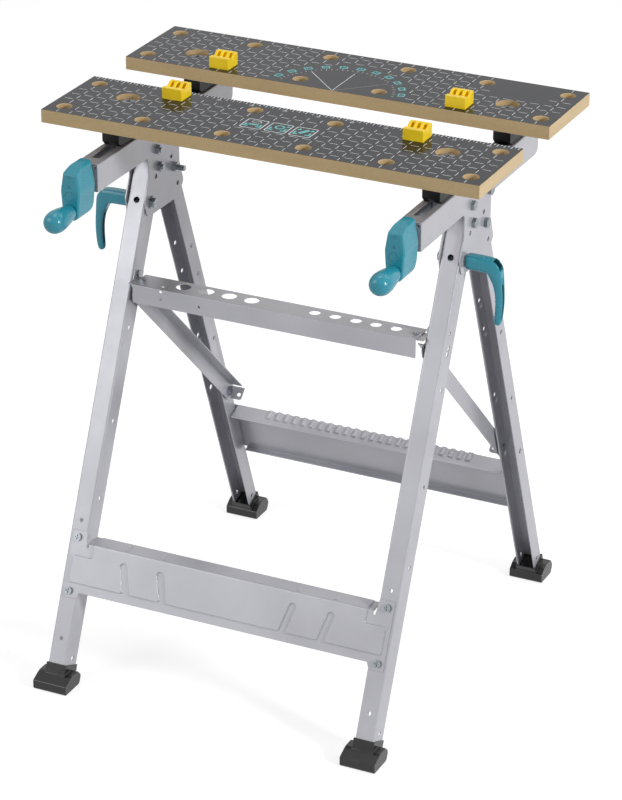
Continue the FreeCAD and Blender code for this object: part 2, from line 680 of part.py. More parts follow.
def gusset_bolts(label):
    """Hexagon bolts that tie the two gusset cheeks of each rail together."""
    bolts = []
    half = "size.rail_width / 2"
    for name, hand in SIDES.items():
        for number, (y, z) in enumerate(gusset_spots()[0], start=1):
            stem = "%s_%s_%d" % (label, name, number)
            spot = ("%s + %s" % (A_Y, y), "%s + %s" % (A_Z, z))
            start, length = across(hand, half + " + 8", half + " + 5")
            shank = rod(stem + "_shank", "X", (start,) + spot, "size.gusset_bolt", length)
            start, length = across(hand, half + " + 6", "-" + half)
            nut = hexagon(stem + "_nut", "X", (start,) + spot, "13", length)
            start, length = across(hand, "-" + half, half + " + 5.3")
            head = hexagon(stem + "_head", "X", (start,) + spot, "13", length)
            bolts.append(fuse(stem, [shank, nut, head]))
    return group(label, bolts)


def rear_pivot_studs(label):
    """Studs that the rear legs hang on: head outside, nut and long free end inside."""
    studs = []
    half = "size.rail_width / 2"
    for name, hand in SIDES.items():
        stem = "%s_%s" % (label, name)
        spot = (B_Y, B_Z)
        start, length = across(hand, half + " + 18", half + " + 5.3")
        shank = rod(stem + "_shank", "X", (start,) + spot, "size.pivot_bolt", length)
        start, length = across(hand, "-" + half, half + " + 5.3")
        head = hexagon(stem + "_head", "X", (start,) + spot, "13", length)
        start, length = across(hand, half + " + 6.5", "-" + half)
        nut = hexagon(stem + "_nut", "X", (start,) + spot, "13", length)
        studs.append(fuse(stem, [shank, head, nut]))
    return group(label, studs)


# ---------------------------------------------------------------- cranks

def crank_arm(label, hand):
    """Moulded arm, widest at the spindle, flat in front, rounded low at the back."""
    body = new_body(label)
    reach, deep = "size.crank_reach", "size.crank_depth"
    top, low = "(%s - 4)" % reach, "(-%s - 13)" % reach
    front = new_sketch(body, "XZ")
    outline(front, [("9", top), ("-9", top), ("-size.crank_half", "-4"), ("-11.5", low),
                    ("11.5", low), ("size.crank_half", "-4")])
    pad(body, front, deep)
    tops = [("%d * 9" % edge, top) for edge in (-1, 1)]
    mids = [("%d * size.crank_half" % edge, "-4") for edge in (-1, 1)]
    ends = [("%d * 11.5" % edge, low) for edge in (-1, 1)]
    round_edges(body, 1, ends, "10")
    round_edges(body, 1, mids, "24")
    round_edges(body, 1, tops, "6")
    trims = new_sketch(body, "YZ")
    outline(trims, [("-%s * 0.45" % deep, top), ("-" + deep, "%s - %s * 0.2" % (top, deep)),
                    ("-%s - 5" % deep, "%s - %s * 0.2" % (top, deep)),
                    ("-%s - 5" % deep, top + " + 7"), ("-%s * 0.45" % deep, top + " + 7")])
    outline(trims, [("-20", low), ("0", low + " + 20", "20", "left"), ("4", low + " + 20"),
                    ("4", low + " - 4"), ("-20", low + " - 4")])
    pocket(body, trims, "4 * size.crank_half", both=True)
    dress(body, "Fillet", edges_at(body, 1, "-" + deep), "3")
    socket = new_sketch(body, "XZ")
    circle(socket, "0", "0", "size.spindle_tang")
    pocket(body, socket, "24", back=True)
    pin = new_sketch(body, "XZ", "size.crank_depth")
    circle(pin, "0", "-" + reach, "size.grip_pin")
    pocket(body, pin, "20")
    return place(body, centre_x(hand), RAIL_NOSE + " - size.plate_thick - size.crank_back",
                 SPINDLE_Z)


def grip_front():
    """Front face of the crank arm, along Y."""
    return "(%s - size.plate_thick - size.crank_back - size.crank_depth)" % RAIL_NOSE


def grip_pin(label, hand):
    """Pin that the grip turns on, pressed into the crank arm."""
    body = new_body(label)
    shaft, head = "size.grip_pin / 2", "size.grip_pin / 2 + 2"
    tip = "(-size.grip_length + 12)"
    revolve(body, [("0", "20"), ("0", tip), (head, tip), (head, tip + " + 3"),
                   (shaft, tip + " + 3"), (shaft, "20")])
    return place(body, centre_x(hand), grip_front(), SPINDLE_Z + " - size.crank_reach")


def crank_grip(label, hand):
    """Pear-shaped grip that turns freely on its pin."""
    body = new_body(label)
    bore = "(size.grip_pin / 2 + size.shaft_gap)"
    well = "(size.grip_pin / 2 + 2 + size.glide_gap)"
    tip = "(-size.grip_length + 12)"
    revolve(body, [(bore, "-size.glide_gap"), (bore, tip + " + 3 + size.glide_gap"),
                   (well, tip + " + 3 + size.glide_gap"), (well, tip + " - size.glide_gap"),
                   ("0", tip + " - size.glide_gap"), ("0", "-size.grip_length"),
                   ("size.grip_radius", "-size.grip_length + size.grip_radius",
                    "size.grip_radius", "left"),
                   ("size.grip_radius * 0.68", "-size.glide_gap",
                    "size.grip_length * 2", "left")])
    return place(body, centre_x(hand), grip_front(), SPINDLE_Z + " - size.crank_reach")


# ---------------------------------------------------------------- clamp levers

def clamp_lever(label, hand):
    """Curved hand lever: level hub, elbow with the bolt socket, arm hanging down."""
    body = new_body(label)
    root = "(size.rail_width / 2 + size.lever_washer + size.glide_gap)"
    reach, drop, hub = "size.lever_reach", "size.lever_drop", "size.lever_hub"

    def at(x, z):
        return ("%d * (%s)" % (hand, x), z)

    corners = [(at(reach + " - 26", hub + " / 2"), "13"), (at(reach + " - 4", "-16"), "36"),
               (at(reach, "-%s * 0.58" % drop), "90"), (at(reach + " - 5", "-" + drop), "3.5"),
               (at(reach + " - 12.5", "-" + drop), "3.5"),
               (at(reach + " - 8.5", "-%s * 0.55" % drop), "90"),
               (at(reach + " - 12.5", "-20"), "20"),
               (at(reach + " - 26", "-%s / 2" % hub), "8")]
    side = new_sketch(body, "XZ")
    outline(side, [at(root, "-%s / 2" % hub), at(root, hub + " / 2")]
            + [spot for spot, radius in corners])
    pad(body, side, "size.lever_depth", both=True)
    for spot, radius in corners:
        round_edges(body, 1, [spot], radius)
    rims = edges_at(body, 1, "-size.lever_depth / 2") + edges_at(body, 1, "size.lever_depth / 2")
    dress(body, "Fillet", rims, "size.lever_edge")
    slim = new_sketch(body, "YZ")
    for edge in (-1, 1):
        outer = "%d * (size.lever_depth / 2 + 2)" % edge
        outline(slim, [(outer, "-%s / 2" % hub), ("%d * size.lever_depth / 2" % edge, "-10"),
                       ("%d * 5" % edge, "-%s * 0.55" % drop), ("%d * 4.5" % edge, "-%s - 2" % drop),
                       (outer, "-%s - 2" % drop)])
    pocket(body, slim, "4 * " + reach, both=True)
    bore = new_sketch(body, "YZ", "%d * (%s - 8)" % (hand, root))
    circle(bore, "0", "0", "size.pivot_bolt")
    pocket(body, bore, "26", back=hand > 0)
    socket = new_sketch(body, "YZ", "%d * (%s + 14)" % (hand, root))
    circle(socket, "0", "0", "size.lever_socket")
    pocket(body, socket, "60", back=hand > 0)
    groove = new_sketch(body, "XZ")
    outline(groove, [at(reach + " - 8.5", "-30"), at(reach + " - 4.5", "-%s * 0.55" % drop),
                     at(reach + " - 7", "-%s + 12" % drop),
                     at(reach + " - 25", "-%s + 12" % drop), at(reach + " - 25", "-30")])
    pocket(body, groove, "size.lever_depth * 0.2", both=True)
    return place(body, centre_x(hand), A_Y, A_Z)


def clamp_bolt(label, hand):
    """Bolt through gusset and leg: hexagon head and washer inside, nut in the lever."""
    half = "size.rail_width / 2"
    spot = (A_Y, A_Z)
    pieces = []
    for stem, inner, outer, diameter in (
            ("shank", half + " + 2", half + " + 20", "size.pivot_bolt"),
            ("washer_in", half + " + 1.8", "-%s - size.glide_gap" % half, "18"),
            ("washer_out", "-%s - size.glide_gap" % half,
             half + " + size.glide_gap + size.lever_washer", "18")):
        start, length = across(hand, inner, outer)
        pieces.append(rod(label + "_" + stem, "X", (start,) + spot, diameter, length))
    for stem, inner, outer in (
            ("head", half + " + 7", "-%s - 1.8" % half),
            ("nut", "-%s - size.lever_washer - size.glide_gap - 14" % half,
             half + " + size.lever_washer + size.glide_gap + 20")):
        start, length = across(hand, inner, outer)
        pieces.append(hexagon(label + "_" + stem, "X", (start,) + spot, "13", length))
    bolt = fuse(label, pieces)
    bolt.Label = label
    return bolt


# ---------------------------------------------------------------- legs and feet

def channel(body, depth, web, top):
    """Leg channel: web at the front (-1) or at the rear (+1), open the other way."""
    profile = new_sketch(body, "XY", "size.leg_start")
    half = "size.leg_width / 2"
    rectangle(profile, "-" + half, "-%s / 2" % depth, half, "%s / 2" % depth)
    pad(body, profile, "%s - size.leg_start" % top)
    corners = [("%d * %s" % (edge, half), "%d * %s / 2" % (web, depth)) for edge in (-1, 1)]
    round_edges(body, 2, corners, "size.leg_round")
    inside = new_sketch(body, "XY", top)
    wall = "size.leg_wall"
    rectangle(inside, "-%s + %s" % (half, wall), "%d * (%s / 2 - %s)" % (web, depth, wall),
              "%s - %s" % (half, wall), "%d * %s / 2" % (-web, depth))
    pocket(body, inside, top)


def front_leg(label, hand):
    body = new_body(label)
    top = "(%s + size.front_leg_above)" % FRONT_PIVOT_S
    channel(body, "size.front_leg_depth", -1, top)
    bores = new_sketch(body, "YZ")
    running = "size.pivot_bolt + 2 * size.shaft_gap"
    circle(bores, "0", FRONT_PIVOT_S, running)
    circle(bores, "0", FRONT_PIVOT_S + " - size.strut_drop", "size.strut_pin")
    for below in (121, 178, 311.5, 422, 652):
        circle(bores, "2", "%s - %g" % (FRONT_PIVOT_S, below), "size.leg_hole")
    circle(bores, "-3", "%s - %s - size.bracket_screw" % (FRONT_PIVOT_S, BRACKET_BELOW),
           "size.small_screw")
    pocket(body, bores, "2 * size.leg_width", both=True)
    # slot that the stop bolt of the gusset leaves as the table folds
    stop_y, stop_z = gusset_spots()[0][1]
    along = "(%s + %s * sin(size.front_lean) + %s * cos(size.front_lean))" % (
        FRONT_PIVOT_S, stop_y, stop_z)
    back = "(%s * cos(size.front_lean) - %s * sin(size.front_lean))" % (stop_y, stop_z)
    room = "(size.gusset_bolt / 2 + 0.5)"
    slot = new_sketch(body, "YZ")
    outline(slot, [("%s - %s" % (back, room), "%s + %s" % (along, room)),
                   ("%s - %s" % (back, room), "%s - %s" % (along, room)),
                   (back, "%s - %s" % (along, room)),
                   ("size.front_leg_depth / 2 + 1", "%s - %s - 3" % (along, room)),
                   ("size.front_leg_depth / 2 + 1", "%s + %s" % (along, room))])
    pocket(body, slot, "2 * size.leg_width", both=True)
    web = new_sketch(body, "XZ")
    circle(web, "0", FRONT_PIVOT_S, "size.web_hole")
    for up in ("size.screw_high", "size.screw_low"):
        circle(web, "0", up, "size.small_screw")
    for up in (237, 67.5):
        circle(web, "0", "%g" % up, "5.5")
    pocket(body, web, "size.front_leg_depth", back=True)
    return lean_front(body, centre_x(hand))


def rear_leg(label, hand):
    body = new_body(label)
    top = "(%s + size.rear_leg_above)" % REAR_PIVOT_S
    channel(body, "size.rear_leg_depth", 1, top)
    bores = new_sketch(body, "YZ")
    circle(bores, "0", REAR_PIVOT_S, "size.pivot_bolt + 2 * size.shaft_gap")
    circle(bores, "0", REAR_PIVOT_S + " - size.strut_reach", "size.strut_pin")
    for below in (153, 208, 339, 680):
        circle(bores, "0", "%s - %g" % (REAR_PIVOT_S, below), "size.leg_hole")
    pocket(body, bores, "2 * size.leg_width", both=True)
    web = new_sketch(body, "XZ")
    for up, diameter in (("size.rear_bolt_high", "size.small_screw"),
                         ("size.rear_bolt_low", "size.small_screw"), ("245.8", "4")):
        circle(web, "0", up, diameter)
    pocket(body, web, "size.rear_leg_depth")
    ears = new_sketch(body, "YZ")
    for edge in (-1, 1):
        outer = "%d * (size.rear_leg_depth / 2 + 1)" % edge
        outline(ears, [(outer, top + " - 9"), (outer, top + " + 1"),
                       ("%d * (size.rear_leg_depth / 2 - 9)" % edge, top + " + 1")])
    pocket(body, ears, "2 * size.leg_width", both=True)
    return lean_rear(body, centre_x(hand))


def foot(label, hand, lean, depth, axis_y, base, rounds):
    """Black shoe: rocker base across the leg, and a socket that wraps its end."""
    body = new_body(label)
    floor = new_sketch(body, "YZ")
    outline(floor, base)
    pad(body, floor, "size.foot_width", both=True)
    for spots, radius in rounds:
        round_edges(body, 0, spots, radius)

    def leg_box(reach, low, high):
        corners = [("-" + reach, low), (reach, low), (reach, high), ("-" + reach, high)]
        return [("(%s) * cos(%s) + (%s) * sin(%s)" % (v, lean, s, lean),
                 "(%s) * cos(%s) - (%s) * sin(%s)" % (s, lean, v, lean)) for v, s in corners]

    socket = new_sketch(body, "YZ")
    wall = "(%s / 2 + size.foot_wall)" % depth
    outline(socket, leg_box(wall, "8", "size.foot_grip"))
    pad(body, socket, "size.leg_width + 2 * size.foot_wall", both=True)
    cavity = new_sketch(body, "YZ")
    room = "(%s / 2 + size.socket_gap)" % depth
    outline(cavity, leg_box(room, "size.leg_start - size.socket_gap", "size.foot_grip + 9"))
    pocket(body, cavity, "size.leg_width + 2 * size.socket_gap", both=True)
    plug = new_sketch(body, "YZ")
    core = "(%s / 2 - size.leg_wall - size.socket_gap)" % depth
    outline(plug, leg_box(core, "size.leg_start - 2", "size.foot_grip - 4"))
    pad(body, plug, "size.leg_width - 2 * (size.leg_wall + size.socket_gap)", both=True)
    return place(body, centre_x(hand), axis_y)


def front_foot(label, hand):
    base = [("-26.4", "0"), ("-26.4", "14"), ("-8", "22"), ("11", "22"), ("20", "12"),
            ("14", "0")]
    rounds = [([("-26.4", "0"), ("-26.4", "14")], "3"), ([("-8", "22")], "20"),
              ([("11", "22")], "8"), ([("20", "12")], "6"), ([("14", "0")], "5")]
    return foot(label, hand, "size.front_lean", "size.front_leg_depth", FRONT_AXIS_Y,
                base, rounds)


def rear_foot(label, hand):
    base = [("-24.5", "0"), ("-24.5", "13"), ("-10", "23.5"), ("12", "23.5"), ("20", "12"),
            ("14", "0")]
    rounds = [([("-24.5", "0"), ("-24.5", "13")], "3"), ([("-10", "23.5")], "20"),
              ([("12", "23.5")], "8"), ([("20", "12")], "6"), ([("14", "0")], "5")]
    return foot(label, hand, "-size.rear_lean", "size.rear_leg_depth", REAR_AXIS_Y,
                base, rounds)


# ---------------------------------------------------------------- struts

def strut(label, hand):
    """Folding strut: web beside the leg, flange along its upper edge, end tab."""
    body = new_body(label)
    outside = "(size.rail_x - size.leg_width / 2 - size.strut_gap)"
    half, long = "size.strut_width / 2", STRUT_LENGTH
    web = new_sketch(body, "YZ", "%d * %s" % (hand, outside))
    outline(web, [("-" + half, "-%s + 6" % half), ("-%s + 6" % half, "-" + half),
                  ("%s - 6" % half, "-" + half), (half, "-%s + 6" % half),
                  (half, "%s + %s" % (long, half)), ("-" + half, "%s + %s" % (long, half))])
    pad(body, web, "size.strut_wall", back=hand > 0)
    across_x = "%d * %s" % (hand, outside)
    inner_x = "%d * (%s - size.strut_flange)" % (hand, outside)
    flange = new_sketch(body, "XY", half)
    rectangle(flange, inner_x, "-" + half, across_x, "-%s + size.strut_wall" % half)
    pad(body, flange, "%s - %s" % (long, half))
    tab = new_sketch(body, "XY", "%s + %s - size.strut_wall" % (long, half))
    rectangle(tab, inner_x, "-" + half, across_x, "%s - 4" % half)
    pad(body, tab, "size.strut_wall")
    round_edges(body, 2, [(inner_x, half + " - 4")], "4")
    bores = new_sketch(body, "YZ")
    circle(bores, "0", "0", "size.strut_pin + 2 * size.shaft_gap")
    circle(bores, "0", long, "size.strut_pin")
    pocket(body, bores, "3 * size.rail_x", both=True)
    hole = new_sketch(body, "XY", "%s + %s" % (long, half))
    circle(hole, "%d * (%s - size.strut_flange * 0.7)" % (hand, outside), "0", "6")
    pocket(body, hole, "size.strut_wall")
    return place(body, "0", C_Y, C_Z, STRUT_TURN)


def strut_upper_pins(label):
    """Shouldered rivets in the front legs that the struts turn on."""
    pins = []
    inside = "size.leg_width / 2"
    seat = "(%s + size.strut_gap)" % inside
    for name, hand in SIDES.items():
        stem = "%s_%s" % (label, name)
        pieces = []
        for part, inner, outer, diameter in (
                ("shank", seat + " + size.strut_wall + 3", "-%s + size.leg_wall" % inside,
                 "size.strut_pin"),
                ("shoulder", seat + " - size.glide_gap", "-" + inside,
                 "size.strut_pin + 6"),
                ("head", seat + " + size.strut_wall + 3",
                 "-%s - size.strut_wall - size.glide_gap" % seat, "size.strut_pin + 6"),
                ("rivet", inside + " - size.leg_wall", "-%s + size.leg_wall + 2" % inside,
                 "size.strut_pin + 4")):
            start, length = across(hand, inner, outer)
            pieces.append(rod("%s_%s" % (stem, part), "X", (start, C_Y, C_Z), diameter,
                              length))
        pins.append(fuse(stem, pieces))
    return group(label, pins)


def strut_lower_pin(label, hand):
    """Pin head and shoulder fixed in a strut; it stops just short of the rear leg."""
    inside = "size.leg_width / 2"
    seat = "(%s + size.strut_gap)" % inside
    pieces = []
    for part, inner, outer, diameter in (
            ("shank", seat + " + size.strut_wall + 3", "-%s - size.open_gap" % inside,
             "size.strut_pin"),
            ("shoulder", seat, "-%s - size.open_gap" % inside, "size.strut_pin + 6"),
            ("head", seat + " + size.strut_wall + 3", "-%s - size.strut_wall" % seat,
             "size.strut_pin + 6")):
        start, length = across(hand, inner, outer)
        pieces.append(rod("%s_%s" % (label, part), "X", (start, D_Y, D_Z), diameter, length))
    pin = fuse(label, pieces)
    pin.Label = label
    return pin


def strut_rivets(label):
    """Rivet ends in the rear legs, facing the lower ends of the struts."""
    rivets = []
    inside = "size.leg_width / 2"
    for name, hand in SIDES.items():
        stem = "%s_%s" % (label, name)
        start, length = across(hand, inside, "-%s + size.leg_wall" % inside)
        shank = rod(stem + "_shank", "X", (start, D_Y, D_Z), "size.strut_pin", length)
        start, length = across(hand, inside + " - size.leg_wall",
                               "-%s + size.leg_wall + 2" % inside)
        head = rod(stem + "_head", "X", (start, D_Y, D_Z), "size.strut_pin + 4", length)
        rivets.append(fuse(stem, [shank, head]))
    return group(label, rivets)


# ---------------------------------------------------------------- panels

def press_field(inset):
    """Edge of the pressed field, with the slanted ribs let in from below."""
    ribs = []
    for foot_x in ("size.rib_inner", "size.rib_outer"):
        ribs.append((foot_x + " - " + inset, foot_x + " + size.rib_slant - " + inset,
                     foot_x + " + size.rib_slant + size.rib_width + " + inset,
                     foot_x + " + size.rib_width + " + inset))
    low, high = "size.press_low + " + inset, "size.rib_top + " + inset
    right = []
    for low_in, high_in, high_out, low_out in ribs:
        right += [(low_in, low), (high_in, high), (high_out, high), (low_out, low)]
    right += [("size.press_half - " + inset, low),
              ("size.press_half - " + inset, "size.press_shoulder - " + inset),
              ("size.press_step - " + inset, "size.press_shoulder - " + inset),
              ("size.press_step - " + inset, "size.panel_bend - " + inset)]
    left = [("-(%s)" % x, z) for x, z in reversed(right)]
    return right + left


def front_panel(label):
    """Pressed cross panel on the front of the front legs, with a folded top."""
    body = new_body(label)
    outside, tab = "size.panel_half", "(size.rail_x - size.panel_tab)"
    depth, wall, bend = "(size.front_leg_depth / 2)", "size.panel_wall", "size.panel_bend"
    raised_y = "(%s + %s + size.press_rise)" % (depth, wall)
    face = new_sketch(body, "XZ", depth)
    right = [(tab, "size.panel_bottom"), (tab + " + 4", "size.panel_tab_low"),
             (outside, "size.panel_tab_low"), (outside, "size.panel_tab_high"),
             (tab + " + 3", "size.panel_tab_high"), (tab, bend + " - 6"),
             ("size.flange_half", bend + " - 6"), ("size.flange_half", bend + " - 1")]
    outline(face, right + [("-(%s)" % x, z) for x, z in reversed(right)])
    pad(body, face, wall)
    raised = new_sketch(body, "XZ", "%s + %s" % (depth, wall))
    outline(raised, press_field("0"))
    pad(body, raised, "size.press_rise")
    field = press_field("0")
    tops = [spot for spot in field if spot[1].startswith("size.rib_top")]
    steps = [spot for spot in field if spot[1].startswith(bend)]
    others = [spot for spot in field if spot not in tops + steps]
    round_edges(body, 1, tops, "size.rib_width * 0.45")
    round_edges(body, 1, others, "2.5")
    hollow = new_sketch(body, "XZ", depth)
    outline(hollow, press_field(wall))
    pocket(body, hollow, "size.press_rise", back=True)
    tilt = "size.panel_flange_tilt"
    run, climb = "size.panel_flange * cos(%s)" % tilt, "size.panel_flange * sin(%s)" % tilt
    # the flange is a step lower beyond the pressed field
    for start_y, start_z, half in (("(%s + %s)" % (depth, wall), "(%s - 1)" % bend, "size.flange_half"),
                                   (raised_y, bend, "size.press_step")):
        flange = new_sketch(body, "YZ")
        outline(flange, [("-" + start_y, start_z),
                         ("-%s + %s" % (raised_y, run), "%s + %s" % (start_z, climb)),
                         ("-%s + %s" % (raised_y, run), "%s + %s - %s" % (start_z, climb, wall)),
                         ("-" + depth, "%s - %s" % (start_z, wall)),
                         ("-" + start_y, "%s - %s" % (start_z, wall))])
        pad(body, flange, "2 * " + half, both=True)
        if half == "size.flange_half":
            middle = new_sketch(body, "YZ")
            rectangle(middle, "-" + depth, bend + " - 6", run, "%s + %s + 1" % (bend, climb))
            pocket(body, middle, "2 * (size.press_step - %s)" % wall, both=True)
    round_edges(body, 0, [("-" + raised_y, bend)], "size.panel_bend_round")
    dress(body, "Fillet", edges_at(body, 1, "-" + raised_y, 100), "1")
    # darts on the flange behind the tops of the ribs
    level = "(%s * sin(%s) + %s * cos(%s))" % (raised_y, tilt, bend, tilt)
    begin = "(%s * sin(%s) - %s * cos(%s) + 5)" % (bend, tilt, raised_y, tilt)
    dart = new_sketch(body, "XZ")
    dart.AttachmentOffset = FreeCAD.Placement(Vector(), FreeCAD.Rotation(Vector(1, 0, 0), val(tilt)))
    dart.setExpression("AttachmentOffset.Rotation.Angle", tilt)
    dart.setExpression("AttachmentOffset.Base.y", "%s * sin(%s)" % (begin, tilt))
    dart.setExpression("AttachmentOffset.Base.z", "-%s * cos(%s)" % (begin, tilt))
    for edge in (-1, 1):
        for foot_x in ("size.rib_inner", "size.rib_outer"):
            middle = "%d * (%s + size.rib_slant + size.rib_width / 2)" % (edge, foot_x)
            outline(dart, [(middle + " + 5", level), (middle + " - 5", level, "11", "left")])
    pad(body, dart, "size.panel_flange * 0.6", back=True)
    screws = new_sketch(body, "XZ", "size.front_leg_depth / 2 + size.panel_wall")
    for edge in (-1, 1):
        for up in ("size.screw_low", "size.screw_high"):
            circle(screws, "%d * size.rail_x" % edge, up, "size.small_screw")
    pocket(body, screws, "size.panel_wall")
    return lean_front(body)


def panel_screws(label, lean, depth, web, levels):
    """Screws that hold a panel to the webs of the two legs."""
    screws = []
    face = "(%s / 2 + size.panel_wall)" % depth
    for name, hand in SIDES.items():
        for number, up in enumerate(levels, start=1):
            stem = "%s_%s_%d" % (label, name, number)
            spot = centre_x(hand)
            if web < 0:
                head_y, shank_y = "-%s - 3" % face, "-" + face
            else:
                head_y, shank_y = face, "%s - 6" % face
            head = rod(stem + "_head", "Y", (spot, head_y, up), "size.screw_head", "3")
            shank = rod(stem + "_shank", "Y", (spot, shank_y, up), "size.small_screw", "6")
            slots = []
            for name_x, wide, high in (("across", "7", "1.4"), ("upright", "1.4", "7")):
                slot = doc.addObject("Part::Box", "%s_%s" % (stem, name_x))
                slot.setExpression("Length", wide)
                slot.setExpression("Width", "1.6")
                slot.setExpression("Height", high)
                front = "-%s - 3" % face if web < 0 else "%s + 1.4" % face
                place(slot, "%s - %s / 2" % (spot, wide), front, "%s - %s / 2" % (up, high))
                slots.append(slot)
            screws.append(cut(stem, fuse(stem + "_blank", [head, shank]),
                              fuse(stem + "_drive", slots)))
    return lean(group(label, screws))


def rear_panel(label):
    """Cross panel on the rear of the rear legs: folded top with a row of beads."""
    body = new_body(label)
    depth, wall = "size.rear_leg_depth / 2", "size.panel_wall"
    low, bend = "size.rear_panel_bottom", "size.rear_panel_bend"
    inside = "size.rear_flange_half"
    face = new_sketch(body, "XZ", "-(%s + %s)" % (depth, wall))
    right = [(inside, low), ("size.panel_half", low), ("size.panel_half", bend),
             (inside, bend)]
    outline(face, right + [("-(%s)" % x, z) for x, z in reversed(right)])
    pad(body, face, wall)
    sections = new_sketch(body, "YZ")
    back = "(%s + %s)" % (depth, wall)
    outline(sections, [(back, bend), ("%s - size.rear_panel_flange" % back, bend),
                       ("%s - size.rear_panel_flange" % back, "%s - %s" % (bend, wall)),
                       (depth, "%s - %s" % (bend, wall)), (depth, "%s + %s" % (low, wall)),
                       ("%s - size.rear_panel_lip" % back, "%s + %s" % (low, wall)),
                       ("%s - size.rear_panel_lip" % back, low), (back, low)])
    pad(body, sections, "2 * " + inside, both=True)
    bead = new_sketch(body, "XZ", "-" + back)
    first = "(-size.bead_pitch * (size.bead_count - 1) / 2)"
    outline(bead, [(first + " + size.bead_radius", bend),
                   (first + " - size.bead_radius", bend, "size.bead_radius * 1.25", "left")])
    ridge = pad(body, bead, "size.rear_panel_flange * 0.6")
    row = body.newObject("PartDesign::LinearPattern", label + "_beads")
    row.Originals = [ridge]
    row.Direction = (bead, ["H_Axis"])
    row.setExpression("Length", "size.bead_pitch * (size.bead_count - 1)")
    row.setExpression("Occurrences", "size.bead_count")
    body.Tip = row
    doc.recompute()
    screws = new_sketch(body, "XZ", "-(%s)" % back)
    for edge in (-1, 1):
        for up in ("size.rear_bolt_low", "size.rear_bolt_high"):
            circle(screws, "%d * size.rail_x" % edge, up, "size.small_screw")
    pocket(body, screws, wall, back=True)
    return lean_rear(body)


# ---------------------------------------------------------------- tool tray

def tool_tray(label):
    """Angle between the front legs with holes for hand tools."""
    body = new_body(label)
    wall, deep = "size.tray_wall", "size.tray_depth"
    section = new_sketch(body, "YZ")
    outline(section, [("0", "0"), ("0", "-size.tray_skirt"), (wall, "-size.tray_skirt"),
                      (wall, "-" + wall), (deep, "-" + wall), (deep, "0")])
    pad(body, section, "2 * size.tray_half", both=True)
    top = new_sketch(body, "XY")
    for inset in (68, 104, 139, 173.5):
        circle(top, "%g - size.tray_half" % inset, "size.tray_row", "size.tray_hole_big")
    for inset in (38.7, 68.9, 98.6, 129.6, 160.4):
        circle(top, "size.tray_half - %g" % inset, "size.tray_row", "size.tray_hole_small")
    circle(top, "42 - size.tray_half", "size.tray_depth * 0.3", "size.small_screw")
    for edge in (-1, 1):
        circle(top, "%d * (size.tray_half - 7)" % edge, "size.tray_depth * 0.45",
               "size.small_screw")
    pocket(body, top, wall)
    front = new_sketch(body, "XZ")
    for inset, z in ((44, -3.5), (44, -15), (103.5, -15)):
        circle(front, "%g - size.tray_half" % inset, "%g" % z, "4")
    pocket(body, front, wall)
    return place(body, "0", TRAY_Y, "size.tray_top")


def tray_bracket(label, hand):
    """Angle bracket: plate on the leg's inner side, tab under the tray's end."""
    body = new_body(label)
    leg_face = "(size.rail_x - size.leg_width / 2)"
    high = BRACKET_BELOW
    low = "(%s + size.bracket_height)" % BRACKET_BELOW

    def on_leg(back, below):
        return ("%s + (%s) * cos(size.front_lean) - (%s) * sin(size.front_lean)"
                % (A_Y, back, below),
                "%s - (%s) * sin(size.front_lean) - (%s) * cos(size.front_lean)"
                % (A_Z, back, below))

    plate = new_sketch(body, "YZ", "%d * %s" % (hand, leg_face))
    outline(plate, [on_leg("-14", high), on_leg("14", high), on_leg("14", low + " - 6"),
                    on_leg("8", low), on_leg("-14", low)])
    pad(body, plate, "size.bracket_wall", back=hand > 0)
    tab = new_sketch(body, "XY", "size.tray_top - size.tray_wall")
    start = TRAY_Y + " + size.tray_wall + 4"
    rectangle(tab, "%d * (size.tray_half - 16)" % hand, start,
              "%d * %s" % (hand, leg_face), start + " + 26")
    pad(body, tab, "size.bracket_wall", back=True)
    bores = new_sketch(body, "YZ", "%d * %s" % (hand, leg_face))
    screw = on_leg("-3", high + " + size.bracket_screw")
    circle(bores, screw[0], screw[1], "size.small_screw")
    pocket(body, bores, "size.bracket_wall", back=hand < 0)
    hole = new_sketch(body, "XY", "size.tray_top - size.tray_wall")
    circle(hole, "%d * (size.tray_half - 7)" % hand,
           TRAY_Y + " + size.tray_depth * 0.45", "size.small_screw")
    pocket(body, hole, "size.bracket_wall")
    return body


def tray_screws(label):
    """Screws down through the tray's ends, and into the legs' inner sides."""
    screws = []
    below = "(%s + size.bracket_screw)" % BRACKET_BELOW
    leg_y = "%s - 3 * cos(size.front_lean) - %s * sin(size.front_lean)" % (A_Y, below)
    leg_z = "%s + 3 * sin(size.front_lean) - %s * cos(size.front_lean)" % (A_Z, below)
    inside = "size.leg_width / 2"
    for name, hand in SIDES.items():
        spot = ("%d * (size.tray_half - 7)" % hand,
                TRAY_Y + " + size.tray_depth * 0.45")
        stem = "%s_%s" % (label, name)
        deep = "(size.tray_wall + size.bracket_wall)"
        pieces = [
            rod(stem + "_shank", "Z", spot + ("size.tray_top - %s - 5" % deep,),
                "size.small_screw", "%s + 8" % deep),
            hexagon(stem + "_head", "Z", spot + ("size.tray_top",), "8", "3.5"),
            hexagon(stem + "_nut", "Z", spot + ("size.tray_top - %s - 4" % deep,), "8", "4")]
        screws.append(fuse(stem + "_down", pieces))
        start, length = across(hand, inside + " + size.bracket_wall + 2",
                               "-%s + size.leg_wall + 2" % inside)
        shank = rod(stem + "_leg_shank", "X", (start, leg_y, leg_z), "size.small_screw", length)
        start, length = across(hand, inside + " + size.bracket_wall + 3",
                               "-%s - size.bracket_wall" % inside)
        head = rod(stem + "_leg_head", "X", (start, leg_y, leg_z), "9", length)
        screws.append(fuse(stem + "_leg", [shank, head]))
    return group(label, screws)


# ---------------------------------------------------------------- assembly

